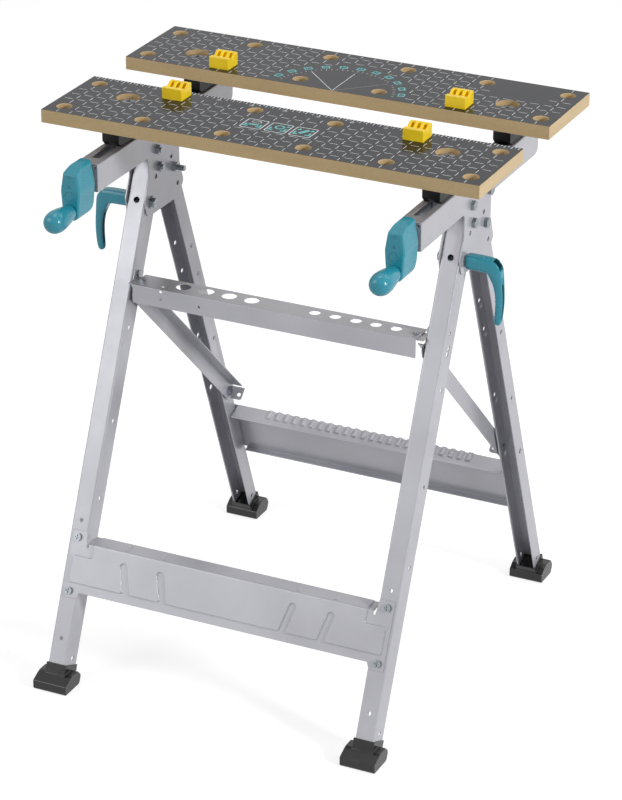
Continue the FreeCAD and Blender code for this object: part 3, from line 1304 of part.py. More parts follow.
nodes = [
    jaw("front_jaw", -1),
    jaw("rear_jaw", 1),
    jaw_bolts("front_jaw_bolts", -1),
    jaw_bolts("rear_jaw_bolts", 1),
    rear_anchors("rear_anchor_plates"),
    gusset_bolts("gusset_bolts"),
    rear_pivot_studs("rear_pivot_studs"),
    front_panel("front_panel"),
    rear_panel("rear_panel"),
    panel_screws("front_panel_screws", lean_front, "size.front_leg_depth", -1,
                 ["size.screw_low", "size.screw_high"]),
    panel_screws("rear_panel_screws", lean_rear, "size.rear_leg_depth", 1,
                 ["size.rear_bolt_low", "size.rear_bolt_high"]),
    strut_upper_pins("strut_upper_pins"),
    strut_rivets("strut_lower_rivets"),
    tool_tray("tool_tray"),
    tray_screws("tray_screws"),
]
for name, hand in SIDES.items():
    nodes += [
        bench_dog("front_dog_" + name, -1, hand),
        bench_dog("rear_dog_" + name, 1, hand),
        slider("front_slider_" + name, -1, hand),
        slider("rear_slider_" + name, 1, hand),
        spindle_nut("spindle_nut_" + name, hand),
        rail("rail_" + name, hand),
        end_plate("rail_end_plate_" + name, hand),
        spindle("spindle_" + name, hand),
        crank_arm("crank_arm_" + name, hand),
        grip_pin("grip_pin_" + name, hand),
        crank_grip("crank_grip_" + name, hand),
        clamp_lever("clamp_lever_" + name, hand),
        clamp_bolt("clamp_bolt_" + name, hand),
        front_leg("front_leg_" + name, hand),
        rear_leg("rear_leg_" + name, hand),
        front_foot("front_foot_" + name, hand),
        rear_foot("rear_foot_" + name, hand),
        strut("strut_" + name, hand),
        strut_lower_pin("strut_lower_pin_" + name, hand),
        tray_bracket("tray_bracket_" + name, hand),
    ]

doc.recompute()
for thing in doc.Objects:
    if "Invalid" in thing.State or "Error" in thing.State:
        raise RuntimeError("%s failed: %s" % (thing.Label, thing.State))
for node in nodes:
    if node.Shape.isNull() or not node.Shape.isValid():
        raise RuntimeError("bad shape in " + node.Label)

os.makedirs("parts", exist_ok=True)
for node in nodes:
    node.Shape.exportStep("parts/%s.step" % node.Label)
    print("%-24s %d solid(s) %9.0f mm3" % (
        node.Label, len(node.Shape.Solids), node.Shape.Volume))
print("%d nodes" % len(nodes))
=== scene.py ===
import json
import math
import bpy
import bmesh
from mathutils import Matrix, Vector


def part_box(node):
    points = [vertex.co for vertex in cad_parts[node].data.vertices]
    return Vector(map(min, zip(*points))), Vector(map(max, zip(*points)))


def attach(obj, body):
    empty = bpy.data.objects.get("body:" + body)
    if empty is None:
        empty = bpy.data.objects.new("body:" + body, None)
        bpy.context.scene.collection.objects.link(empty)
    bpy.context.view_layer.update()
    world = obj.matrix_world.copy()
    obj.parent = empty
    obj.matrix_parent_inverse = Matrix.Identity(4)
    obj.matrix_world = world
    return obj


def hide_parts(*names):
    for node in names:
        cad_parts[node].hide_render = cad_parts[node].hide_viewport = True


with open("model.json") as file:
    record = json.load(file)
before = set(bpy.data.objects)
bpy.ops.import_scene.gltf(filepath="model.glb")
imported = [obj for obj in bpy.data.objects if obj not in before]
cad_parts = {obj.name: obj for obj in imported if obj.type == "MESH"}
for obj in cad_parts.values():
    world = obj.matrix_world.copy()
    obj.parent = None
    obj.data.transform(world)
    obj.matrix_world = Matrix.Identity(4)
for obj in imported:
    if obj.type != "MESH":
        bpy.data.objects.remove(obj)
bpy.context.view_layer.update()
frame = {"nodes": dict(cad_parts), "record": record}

mm = 0.001
sides = {"left": -1, "right": 1}
for leftover in ("Cube", "Light", "Camera"):
    if leftover in bpy.data.objects:
        bpy.data.objects.remove(bpy.data.objects[leftover])
scene = bpy.context.scene
print("frame loaded:", len(frame["nodes"]), "nodes")


# materials: every one reads Object coordinates, in metres

def newMaterial(name):
    material = bpy.data.materials.new(name)
    material.use_nodes = True
    shader = material.node_tree.nodes["Principled BSDF"]
    return material, shader


def addNode(material, kind, **settings):
    node = material.node_tree.nodes.new("ShaderNode" + kind)
    for name, value in settings.items():
        if name in node.inputs.keys():
            node.inputs[name].default_value = value
        else:
            setattr(node, name, value)
    return node


def join(material, source, target):
    material.node_tree.links.new(source, target)


def objectPoint(material, stretch=(1, 1, 1)):
    point = addNode(material, "TexCoord").outputs["Object"]
    if stretch == (1, 1, 1):
        return point
    mapping = addNode(material, "Mapping", Scale=stretch)
    join(material, point, mapping.inputs["Vector"])
    return mapping.outputs["Vector"]


def noise(material, scale, detail=3.0, rough=0.5, stretch=(1, 1, 1)):
    texture = addNode(material, "TexNoise", Scale=scale, Detail=detail, Roughness=rough)
    join(material, objectPoint(material, stretch), texture.inputs["Vector"])
    return texture.outputs["Fac"]


def ramp(material, value, low, high, start=0.35, end=0.65):
    colours = addNode(material, "ValToRGB")
    colours.color_ramp.elements[0].position = start
    colours.color_ramp.elements[1].position = end
    colours.color_ramp.elements[0].color = tuple(low) + (1,)
    colours.color_ramp.elements[1].color = tuple(high) + (1,)
    join(material, value, colours.inputs["Fac"])
    return colours.outputs["Color"]


def grey(value):
    return (value, value, value)


def multiply(material, first, second, share=1.0):
    mixed = addNode(material, "Mix", data_type="RGBA", blend_type="MULTIPLY")
    mixed.inputs["Factor"].default_value = share
    join(material, first, mixed.inputs["A"])
    join(material, second, mixed.inputs["B"])
    return mixed.outputs["Result"]


def bump(material, shader, height, strength, distance=0.0002):
    node = addNode(material, "Bump", Strength=strength, Distance=distance)
    join(material, height, node.inputs["Height"])
    previous = shader.inputs["Normal"].links
    if previous:
        join(material, previous[0].from_socket, node.inputs["Normal"])
    join(material, node.outputs["Normal"], shader.inputs["Normal"])


def tint(colour, share):
    return tuple(min(1, c * share) for c in colour)


silverPaint = {"colour": (0.46, 0.46, 0.50), "metal": 0.35, "rough": 0.30, "cloud": 9,
               "flake": 2600, "handling": 60, "peel": 700}


def makeSilverPaint():
    material, shader = newMaterial("silverPaint")
    colour = silverPaint["colour"]
    cloud = noise(material, silverPaint["cloud"], 4)
    base = ramp(material, cloud, tint(colour, 0.93), tint(colour, 1.05))
    sparkle = ramp(material, noise(material, silverPaint["flake"], 2), grey(0.82), grey(1.0),
                   0.3, 0.7)
    join(material, multiply(material, base, sparkle, 0.5), shader.inputs["Base Color"])
    shader.inputs["Metallic"].default_value = silverPaint["metal"]
    handling = noise(material, silverPaint["handling"], 5)
    rough = ramp(material, handling, grey(silverPaint["rough"] - 0.02),
                 grey(silverPaint["rough"] + 0.04), 0.3, 0.7)
    join(material, rough, shader.inputs["Roughness"])
    bump(material, shader, noise(material, silverPaint["peel"], 3), 0.06, 0.0001)
    return material


zincPlate = {"colour": (0.29, 0.315, 0.34), "rough": 0.24, "crystals": 260, "wear": 500,
             "grain": 1400}


def makeZinc():
    material, shader = newMaterial("zincPlate")
    colour = zincPlate["colour"]
    base = ramp(material, noise(material, zincPlate["crystals"], 4), tint(colour, 0.8),
                tint(colour, 1.1))
    join(material, base, shader.inputs["Base Color"])
    shader.inputs["Metallic"].default_value = 1.0
    wear = noise(material, zincPlate["wear"], 4)
    rough = ramp(material, wear, grey(zincPlate["rough"] - 0.08),
                 grey(zincPlate["rough"] + 0.14), 0.3, 0.7)
    join(material, rough, shader.inputs["Roughness"])
    bump(material, shader, noise(material, zincPlate["grain"], 2), 0.1, 0.00005)
    return material


plastic = {"drift": 30, "flow": 140, "glowDepth": 0.002}


def makePlastic(name, colour, rough, grain, depth, glow=0.0, gloss=0.5):
    # moulded plastic: slight colour drift, spark-eroded grain
    material, shader = newMaterial(name)
    drift = noise(material, plastic["drift"], 3)
    base = ramp(material, drift, tint(colour, 0.94), tint(colour, 1.05))
    join(material, base, shader.inputs["Base Color"])
    flow = noise(material, plastic["flow"], 4)
    shade = ramp(material, flow, grey(rough - 0.05), grey(rough + 0.08), 0.3, 0.7)
    join(material, shade, shader.inputs["Roughness"])
    shader.inputs["Specular IOR Level"].default_value = gloss
    if glow:
        shader.inputs["Subsurface Weight"].default_value = glow
        shader.inputs["Subsurface Scale"].default_value = plastic["glowDepth"]
    bump(material, shader, noise(material, grain, 4), depth, 0.0001)
    return material


fibreboard = {"colour": (0.45, 0.32, 0.155), "pale": (0.56, 0.42, 0.235), "rough": 0.72,
              "fibre": 650, "drift": 9}
# the ends' paler board colour is painted light: it stands in for the brighter light on the
# board ends
paintedLitEnd = {"colour": (0.55, 0.415, 0.23), "pale": (0.68, 0.54, 0.345), "rough": 0.72,
           "fibre": 650, "drift": 9}
film = {"colour": (0.008, 0.008, 0.011), "rough": 0.10, "index": 1.28,
        "sheen": (0.85, 0.89, 1.0), "drift": 90, "handling": 45, "peel": 800}


def makeFibreboard(name, board):
    # sawn edge of medium density board: short fibres, a slow drift in colour
    material, shader = newMaterial(name)
    fibres = noise(material, board["fibre"], 6, 0.6, (0.5, 1, 1.4))
    wood = ramp(material, fibres, board["colour"], board["pale"], 0.25, 0.8)
    layers = noise(material, board["drift"], 3, 0.5, (1, 1, 6))
    drift = ramp(material, layers, grey(0.93), grey(1.0))
    join(material, multiply(material, wood, drift), shader.inputs["Base Color"])
    join(material, ramp(material, fibres, grey(board["rough"] - 0.05),
                        grey(board["rough"] + 0.1)), shader.inputs["Roughness"])
    bump(material, shader, fibres, 0.15, 0.0002)
    return material


def makeFilm():
    # printed melamine film: even and dark, with a faint orange-peel gloss
    material, shader = newMaterial("jawFilm")
    base = ramp(material, noise(material, film["drift"], 5), tint(film["colour"], 0.9),
                tint(film["colour"], 1.1))
    join(material, base, shader.inputs["Base Color"])
    shader.inputs["IOR"].default_value = film["index"]
    shader.inputs["Specular Tint"].default_value = film["sheen"] + (1,)
    handling = noise(material, film["handling"], 5)
    join(material, ramp(material, handling, grey(film["rough"] - 0.03),
                        grey(film["rough"] + 0.05)), shader.inputs["Roughness"])
    bump(material, shader, noise(material, film["peel"], 2), 0.05, 0.00005)
    return material


ink = {"speckle": 700, "rough": 0.4}


def makeInk(name, colour):
    material, shader = newMaterial(name)
    base = ramp(material, noise(material, ink["speckle"], 3), tint(colour, 0.85),
                tint(colour, 1.05))
    join(material, base, shader.inputs["Base Color"])
    shader.inputs["Roughness"].default_value = ink["rough"]
    return material


materials = {
    "grey_steel": makeSilverPaint(),
    "zinc": makeZinc(),
    "teal_plastic": makePlastic("tealPlastic", (0.019, 0.265, 0.355), 0.24, 2500, 0.03),
    "yellow_plastic": makePlastic("yellowPlastic", (0.93, 0.66, 0.012), 0.34, 900, 0.1, 0.08),
    "black_plastic": makePlastic("blackPlastic", (0.006, 0.006, 0.007), 0.36, 700, 0.1,
                                 gloss=0.2),
    "foot_rubber": makePlastic("blackShoe", (0.008, 0.008, 0.009), 0.2, 900, 0.05),
    "jaw_board": makeFibreboard("fibreboard", fibreboard),
}
# paler board for the two ends: painted light
paintedLitEndBoard = makeFibreboard("paintedLitEndBoard", paintedLitEnd)
jawFilm = makeFilm()
# a darker teal for the lever's groove and bolt well: painted shade in the recesses
paintedShadeTeal = makePlastic("paintedShadeTeal", (0.006, 0.075, 0.10), 0.5, 2500, 0.03)
# a darker teal for the crank's rings: painted shade along the moulded rings
paintedShadeMarkTeal = makePlastic("paintedShadeMarkTeal", (0.014, 0.19, 0.26), 0.4, 2500, 0.03)
whiteInk = makeInk("whiteInk", (0.76, 0.79, 0.82))
tealInk = makeInk("tealInk", (0.13, 0.56, 0.55))
faintInk = makeInk("faintInk", (0.26, 0.25, 0.30))
print("materials made:", len(bpy.data.materials))


# pieces

def bodyOf(node):
    for body, members in frame["record"]["behaviour"]["bodies"].items():
        if node in members:
            return body


def slotOf(node):
    for part in frame["record"]["subparts"]:
        if part["node"] == node:
            return part["material_slot"]


def addPiece(name, mesh, material, body):
    piece = bpy.data.objects.new(name, mesh)
    scene.collection.objects.link(piece)
    piece.data.materials.append(material)
    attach(piece, body)
    return piece


def meshFrom(bm, name):
    mesh = bpy.data.meshes.new(name)
    bm.to_mesh(mesh)
    bm.free()
    return mesh


easing = {"segments": 2, "angle": 32, "merge": 2e-6, "coplanar": 0.3, "skin": 0.1 * mm,
          "flatness": 80}


def easeEdges(node, width):
    # the same form with its sharp edges eased, as paint, moulding or sanding leaves them
    bm = bmesh.new()
    bm.from_mesh(frame["nodes"][node].data)
    bmesh.ops.remove_doubles(bm, verts=bm.verts, dist=easing["merge"])
    bmesh.ops.dissolve_limit(bm, angle_limit=math.radians(easing["coplanar"]),
                             verts=bm.verts, edges=bm.edges)
    sharp = math.radians(easing["angle"])
    for face in bm.faces:
        face.smooth = True
    for edge in bm.edges:
        if len(edge.link_faces) == 2 and edge.calc_face_angle(0) > sharp:
            edge.smooth = False
    piece = addPiece(node + ".eased", meshFrom(bm, node + ".eased"), materials[slotOf(node)],
                     bodyOf(node))
    if slotOf(node) == "jaw_board":
        # film on top; the two ends in a paler board colour, painted light for the brighter
        # light the ends catch
        piece.data.materials.append(jawFilm)
        piece.data.materials.append(paintedLitEndBoard)
        low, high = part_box(node)
        for face in piece.data.polygons:
            middle = face.center
            if face.normal.z > 0.99 and middle.z > high.z - easing["skin"]:
                face.material_index = 1
            elif not low.x + easing["skin"] < middle.x < high.x - easing["skin"]:
                face.material_index = 2
    bevel = piece.modifiers.new("easedEdges", "BEVEL")
    bevel.width = width
    bevel.segments = easing["segments"]
    bevel.limit_method = "ANGLE"
    bevel.angle_limit = sharp
    bevel.use_clamp_overlap = False
    bevel.harden_normals = False
    # flat faces stay flat, so that only bends and eased edges carry the shine
    flatten = piece.modifiers.new("flatFaces", "WEIGHTED_NORMAL")
    flatten.keep_sharp = True
    flatten.weight = easing["flatness"]
    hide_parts(node)


easedWidths = {"grey_steel": 0.35 * mm, "jaw_board": 0.4 * mm, "teal_plastic": 0.5 * mm,
               "yellow_plastic": 0.5 * mm, "black_plastic": 0.6 * mm,
               "foot_rubber": 0.8 * mm}
remade = ("crank_grip", "clamp_lever")
for nodeName, node in frame["nodes"].items():
    slotName = slotOf(nodeName)
    node.data.materials.clear()
    node.data.materials.append(materials[slotName])
    if slotName in easedWidths and not nodeName.startswith(remade):
        easeEdges(nodeName, easedWidths[slotName])
print("edges eased")


def smoothPiece(bm, name, node, levels=2):
    bmesh.ops.recalc_face_normals(bm, faces=bm.faces)
    for face in bm.faces:
        face.smooth = True
    piece = addPiece(name, meshFrom(bm, name), materials[slotOf(node)], bodyOf(node))
    soften = piece.modifiers.new("soften", "SUBSURF")
    soften.levels = soften.render_levels = levels
    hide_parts(node)
    return piece


# profile of the grip: radius and distance from the crank, as shares of its size
grip = {"profile": ((0.0, 0.002), (0.60, 0.002), (0.68, 0.03), (0.74, 0.15), (0.90, 0.38),
                    (1.0, 0.62), (0.985, 0.76), (0.84, 0.91), (0.48, 0.988), (0.0, 1.0)),
        "steps": 24}


def crankGrip(node):
    low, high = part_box(node)
    radius, length = (high.x - low.x) / 2, high.y - low.y
    axis = Vector(((low.x + high.x) / 2, 0, (low.z + high.z) / 2))
    bm = bmesh.new()
    spots = [bm.verts.new((axis.x + share * radius, high.y - along * length, axis.z))
             for share, along in grip["profile"]]
    edges = [bm.edges.new(pair) for pair in zip(spots, spots[1:])]
    bmesh.ops.spin(bm, geom=spots + edges, cent=axis, axis=(0, 1, 0),
                   angle=math.radians(360), steps=grip["steps"], use_merge=True)
    bmesh.ops.remove_doubles(bm, verts=bm.verts, dist=1e-5)
    smoothPiece(bm, node + ".turned", node)


legX = 238 * mm    # from the middle of the table to a leg's pivot and a jaw's bolt

# stations of the lever from its root: out along X, up, direction, half height, half depth
lever = {"stations": ((17.9, 0, 0, 9.6, 9.0), (19.5, 0, 0, 10, 9.4), (36, 0, 0, 10, 9.4),
                      (48, -0.2, -3, 10.1, 9.4), (54.5, -1.6, -20, 11, 9.3),
                      (56.8, -3.6, -32, 11.3, 9.2), (59.6, -7.5, -47, 10.8, 9.0),
                      (61, -11, -56, 10, 8.8), (63, -18.5, -68, 8.2, 8.0),
                      (65.2, -28, -76, 6.4, 7.0), (66.9, -40, -83, 5.7, 6.3),
                      (67.4, -53, -89, 5.4, 6.0), (66.8, -66, -94, 5.2, 5.8),
                      (65.6, -77, -97, 5.0, 5.4), (64.9, -83, -97, 4.2, 4.5),
                      (64.7, -85.6, -97, 2.6, 2.6)),
         "section": ((-1, -0.55), (-0.72, -1), (-0.46, -1), (-0.38, -1), (0.38, -1),
                     (0.46, -1), (0.72, -1), (1, -0.55), (1, 0.55), (0.72, 1), (0.46, 1),
                     (0.38, 1), (-0.38, 1), (-0.46, 1), (-0.72, 1), (-1, 0.55)),
         "groove": range(9, 14), "lowered": (3, 4, 11, 12), "grooveRise": 0.14,
         "grooveFaces": (2, 3, 4, 10, 11, 12), "mouth": range(4, 7),
         "mouthFaces": range(9, 14), "mouthDepth": 24, "mouthRim": 0.5, "hubRadius": 10}


def clampLever(node, hand):
    low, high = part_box(node)
    # the pivot lies in the middle of the hub, half a hub below the top
    pivot = Vector((hand * legX, (low.y + high.y) / 2, high.z - lever["hubRadius"] * mm))
    bm = bmesh.new()
    count = len(lever["section"])
    ring = bmesh.ops.create_circle(bm, cap_ends=False, segments=count, radius=mm)["verts"]
    rows = []

    def between(number, index):
        corners = {rows[number][index], rows[number][(index + 1) % count],
                   rows[number + 1][index], rows[number + 1][(index + 1) % count]}
        return [face for face in rows[number][index].link_faces if set(face.verts) == corners]

    for number, (out, up, angle, height, depth) in enumerate(lever["stations"]):
        if rows:
            edges = [bm.edges.get((rows[-1][i], rows[-1][(i + 1) % count]))
                     for i in range(count)]
            made = bmesh.ops.extrude_edge_only(bm, edges=edges)["geom"]
            fresh = [item for item in made if isinstance(item, bmesh.types.BMVert)]
            ring = [min(fresh, key=lambda v: (v.co - old.co).length) for old in rows[-1]]
            if len(set(ring)) < count:
                raise RuntimeError("lever section lost a point")
        rows.append(list(ring))
        along = math.radians(angle)
        normal = Vector((-math.sin(along), 0, math.cos(along)))
        for index, vert in enumerate(ring):
            across, rise = lever["section"][index]
            if number in lever["groove"] and index in lever["lowered"]:
                rise *= lever["grooveRise"]
            spot = Vector((out, across * depth, up)) + normal * rise * height
            vert.co = pivot + Vector((hand * spot.x, spot.y, spot.z)) * mm
    for row in (rows[0], rows[-1]):
        bm.faces.new(row)
    # the groove's floor and walls in the darker teal: painted shade
    for number in range(lever["groove"].start, lever["groove"].stop - 1):
        for index in lever["grooveFaces"]:
            for face in between(number, index):
                face.material_index = 1
    mouth = []
    for number in lever["mouth"]:
        for index in lever["mouthFaces"]:
            mouth += between(number, index)
    bmesh.ops.inset_region(bm, faces=mouth, thickness=lever["mouthRim"] * mm, depth=0)
    well = bmesh.ops.extrude_face_region(bm, geom=mouth)["geom"]
    deep = [item for item in well if isinstance(item, bmesh.types.BMVert)]
    bmesh.ops.translate(bm, verts=deep, vec=(-hand * lever["mouthDepth"] * mm, 0, 0))
    bmesh.ops.delete(bm, geom=mouth, context="FACES_ONLY")
    # the well's walls in the darker teal: painted shade in the bolt mouth
    for vert in deep:
        for face in vert.link_faces:
            face.material_index = 1
    piece = smoothPiece(bm, node + ".moulded", node)
    piece.data.materials.append(paintedShadeTeal)


# rings moulded into the crank's front face, drawn in a darker teal as painted shade: height
# above the grip's axis, radius, bead
marks = {"rings": ((22, 6.6, 0.5), (36, 1.3, 0.8), (50, 2.0, 0.35)), "steps": 32,
         "beadSteps": 8}


def crankMarks(node, gripNode):
    low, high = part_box(node)
    axis = (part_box(gripNode)[0].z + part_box(gripNode)[1].z) / 2
    middle = (low.x + high.x) / 2
    bm = bmesh.new()
    for up, radius, bead in marks["rings"]:
        centre = Vector((middle, low.y, axis + up * mm))
        place = Matrix.Translation(centre + Vector((radius * mm, 0, 0)))
        circle = bmesh.ops.create_circle(bm, cap_ends=False, segments=marks["beadSteps"],
                                         radius=bead * mm, matrix=place)["verts"]
        edges = {edge for vert in circle for edge in vert.link_edges}
        bmesh.ops.spin(bm, geom=circle + list(edges), cent=centre, axis=(0, 1, 0),
                       angle=math.radians(360), steps=marks["steps"], use_merge=True)
    bmesh.ops.remove_doubles(bm, verts=bm.verts, dist=1e-6)
    bmesh.ops.recalc_face_normals(bm, faces=bm.faces)
    for face in bm.faces:
        face.smooth = True
    addPiece(node + ".marks", meshFrom(bm, node + ".marks"), paintedShadeMarkTeal, bodyOf(node))


for side, hand in sides.items():
    crankGrip("crank_grip_" + side)
    clampLever("clamp_lever_" + side, hand)
    crankMarks("crank_arm_" + side, "crank_grip_" + side)
print("grips and levers made")


# the print on the jaws' films

jawPrint = {"cell": 20 * mm, "dash": 12 * mm, "line": 1.0 * mm, "proud": 0.06 * mm,
            "columns": range(-16, 17), "rows": range(-1, 7), "holeColumns": 6,
            "holePitch": 120 * mm, "innerRow": 25 * mm, "rowPitch": 100 * mm,
            "holeRoom": 11.5 * mm, "boltRoom": 17 * mm, "edgeRoom": 2 * mm,
            "rulerRoom": 22 * mm}


def flatBar(bm, x, y, z, width, depth, turn=0.0):
    place = (Matrix.Translation((x, y, z)) @ Matrix.Rotation(turn, 4, "Z")
             @ Matrix.Diagonal((width, depth, 1, 1)))
    bmesh.ops.create_grid(bm, x_segments=1, y_segments=1, size=0.5, matrix=place)


def tooNear(point, spots, reach):
    return any((point - spot).length < reach for spot in spots)


def printLattice(name, jaw, side, keepOut):
    low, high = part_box(jaw)
    inner = low.y if side > 0 else high.y
    level = high.z + jawPrint["proud"]
    cell, dash = jawPrint["cell"], jawPrint["dash"]
    innerRow = inner + side * jawPrint["innerRow"]
    halfway = (jawPrint["holeColumns"] - 1) / 2
    columns = [(i - halfway) * jawPrint["holePitch"] for i in range(jawPrint["holeColumns"])]
    holes = [Vector((x, innerRow + side * row * jawPrint["rowPitch"])) for x in columns
             for row in (0, 1)]
    boltY = (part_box(jaw + "_bolts")[0].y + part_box(jaw + "_bolts")[1].y) / 2
    bolts = [Vector((s * legX, boltY)) for s in (-1, 1)]
    room = jawPrint["edgeRoom"]
    bm = bmesh.new()
    for i in jawPrint["columns"]:
        for j in jawPrint["rows"]:
            for along in (0, 1):
                # upright dashes stand on the hole grid, level ones half a cell away
                x = i * cell + along * cell / 2
                y = innerRow + side * (j * cell + along * cell / 2)
                halfX = dash / 2 if along else jawPrint["line"] / 2
                halfY = jawPrint["line"] / 2 if along else dash / 2
                lowY, highY = max(y - halfY, low.y + room), min(y + halfY, high.y - room)
                if side < 0:
                    highY = min(highY, high.y - jawPrint["rulerRoom"])
                if highY - lowY < jawPrint["line"] * 0.9:
                    continue
                if x - halfX < low.x + room or x + halfX > high.x - room:
                    continue
                ends = [Vector((x + s * halfX, (lowY + highY) / 2 + s * (highY - lowY) / 2))
                        for s in (-1, 0, 1)]
                if any(tooNear(e, holes, jawPrint["holeRoom"]) for e in ends):
                    continue
                if any(tooNear(e, bolts, jawPrint["boltRoom"]) for e in ends):
                    continue
                if any(keepOut(e.x, e.y) for e in ends):
                    continue
                flatBar(bm, x, (lowY + highY) / 2, level, 2 * halfX, highY - lowY)
    addPiece(name, meshFrom(bm, name), whiteInk, bodyOf(jaw))


# each sign: bars and arrows in teal, frames in either ink, places from the sign's middle
signs = {"box": 34 * mm, "step": 36.5 * mm, "x": -0.7 * mm, "fromInner": 73.5 * mm,
         "line": 1.6 * mm, "corner": 4 * mm, "narrower": 2 * mm, "room": (2 * mm, 3 * mm),
         "jawBars": ((9.5, -9, 8, 3), (11, -4, 3, 8)),
         "drawn": {-1: {"bars": ((0, -2, 15, 4, 0),),
                        "frames": (("pale", 0, 8, 14, 8, 1, 3.4),), "arrows": ()},
                   0: {"bars": (), "frames": (("teal", 0, 3, 14, 14, 2.4, 6.5),),
                       "arrows": ((10, 9, 3.4, 0.6),)},
                   1: {"bars": ((0, 2, 6, 17, -0.5),), "frames": (),
                       "arrows": ((-9, 8, 4, 2.2), (10, 8, 4, 0.3))}}}
fan = {"radius": 97 * mm, "box": (12 * mm, 10 * mm), "step": 15, "bare": 104 * mm,
       "boxLine": 1.9 * mm, "boxCorner": 1.6 * mm, "number": 4.2 * mm,
       "tickRadius": 86 * mm, "tickLine": 0.8 * mm, "tickLong": 5 * mm, "tickShort": 3.2 * mm,
       "rays": ((90, 77 * mm, "pale"), (135, 88 * mm, "pale"), (45, 88 * mm, "faint")),
       "rayFrom": 1 * mm, "rayLine": 1.1 * mm}
barePatch = {"x": (196 * mm, 282 * mm), "fromInner": (82 * mm, 140 * mm)}
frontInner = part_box("front_jaw")[1].y
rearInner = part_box("rear_jaw")[0].y


def onSigns(x, y):
    halfRow = signs["step"] * len(signs["drawn"]) / 2
    return (abs(x - signs["x"]) < halfRow + signs["room"][0]
            and abs(frontInner - signs["fromInner"] - y) < signs["box"] / 2 + signs["room"][1])


def onFan(x, y):
    if math.hypot(x, y - rearInner) < fan["bare"]:
        return True
    away = y - rearInner
    return (barePatch["x"][0] < x < barePatch["x"][1]
            and barePatch["fromInner"][0] < away < barePatch["fromInner"][1])


def drawText(bm, text, place, height, turn=0.0):
    curve = bpy.data.curves.new("number", "FONT")
    curve.body = text
    curve.size = height / 0.72    # a figure is 0.72 of the font's size high
    curve.align_x, curve.align_y = "CENTER", "CENTER"
    curve.resolution_u = 2
    holder = bpy.data.objects.new("number", curve)
    scene.collection.objects.link(holder)
    flat = bpy.data.meshes.new_from_object(holder)
    flat.transform(Matrix.Translation(place) @ Matrix.Rotation(turn, 4, "Z"))
    bm.from_mesh(flat)
    bpy.data.objects.remove(holder)
    bpy.data.curves.remove(curve)
    bpy.data.meshes.remove(flat)


def drawFrame(bm, place, width, depth, line, corner, turn=0.0):
    # rounded outline: a plate with rounded corners, inset, its middle taken out
    seat = (Matrix.Translation(place) @ Matrix.Rotation(turn, 4, "Z")
            @ Matrix.Diagonal((width, depth, 1, 1)))
    verts = bmesh.ops.create_grid(bm, x_segments=1, y_segments=1, size=0.5,
                                  matrix=seat)["verts"]
    rounded = bmesh.ops.bevel(bm, geom=verts, offset=corner, segments=4, profile=0.5,
                              affect="VERTICES", material=-1)["verts"]
    plate = [face for face in rounded[0].link_faces]
    bmesh.ops.inset_region(bm, faces=plate, thickness=line, depth=0, use_boundary=True,
                           use_even_offset=True)
    bmesh.ops.delete(bm, geom=plate, context="FACES_ONLY")


ruler = {"step": 5 * mm, "short": 4 * mm, "long": 8 * mm, "line": 1.2 * mm,
         "fromEdge": 0.6 * mm, "number": 5.2 * mm, "numberFrom": 11 * mm, "numberEvery": 10}


def printRuler(name, jaw):
    low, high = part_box(jaw)
    level = high.z + jawPrint["proud"]
    bm = bmesh.new()
    count = round((high.x - low.x) / ruler["step"])
    for i in range(1, count):
        x = low.x + i * ruler["step"]
        reach = ruler["short"] if i % 2 else ruler["long"]
        flatBar(bm, x, high.y - ruler["fromEdge"] - reach / 2, level, ruler["line"], reach)
        if i % ruler["numberEvery"] == 0:
            drawText(bm, str(i // 2), (x, high.y - ruler["numberFrom"], level),
                     ruler["number"])
    addPiece(name, meshFrom(bm, name), whiteInk, bodyOf(jaw))


def flatArrow(bm, x, y, z, reach, turn):
    bmesh.ops.create_circle(bm, cap_ends=True, segments=3, radius=reach, matrix=(
        Matrix.Translation((x, y, z)) @ Matrix.Rotation(turn, 4, "Z")))


def printSigns(name, jaw):
    # three rounded signs: work gripped flat, work held by dogs, work held on edge
    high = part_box(jaw)[1]
    level, middle = high.z + jawPrint["proud"], high.y - signs["fromInner"]
    pale, teal = bmesh.new(), bmesh.new()
    inks = {"pale": pale, "teal": teal}
    for place, sign in signs["drawn"].items():
        x = signs["x"] + place * signs["step"]
        drawFrame(pale, (x, middle, level), signs["box"] - signs["narrower"], signs["box"],
                  signs["line"], signs["corner"])
        for hand in (-1, 1):
            for out, up, width, depth in signs["jawBars"]:
                flatBar(teal, x + hand * out * mm, middle + up * mm, level, width * mm,
                        depth * mm)
        for out, up, width, depth, turn in sign["bars"]:
            flatBar(teal, x + out * mm, middle + up * mm, level, width * mm, depth * mm, turn)
        for inkName, out, up, width, depth, line, corner in sign["frames"]:
            drawFrame(inks[inkName], (x + out * mm, middle + up * mm, level), width * mm,
                      depth * mm, line * mm, corner * mm)
        for out, up, reach, turn in sign["arrows"]:
            flatArrow(teal, x + out * mm, middle + up * mm, level, reach * mm, turn)
    addPiece(name + ".outlines", meshFrom(pale, name + ".outlines"), whiteInk, bodyOf(jaw))
    addPiece(name, meshFrom(teal, name), tealInk, bodyOf(jaw))


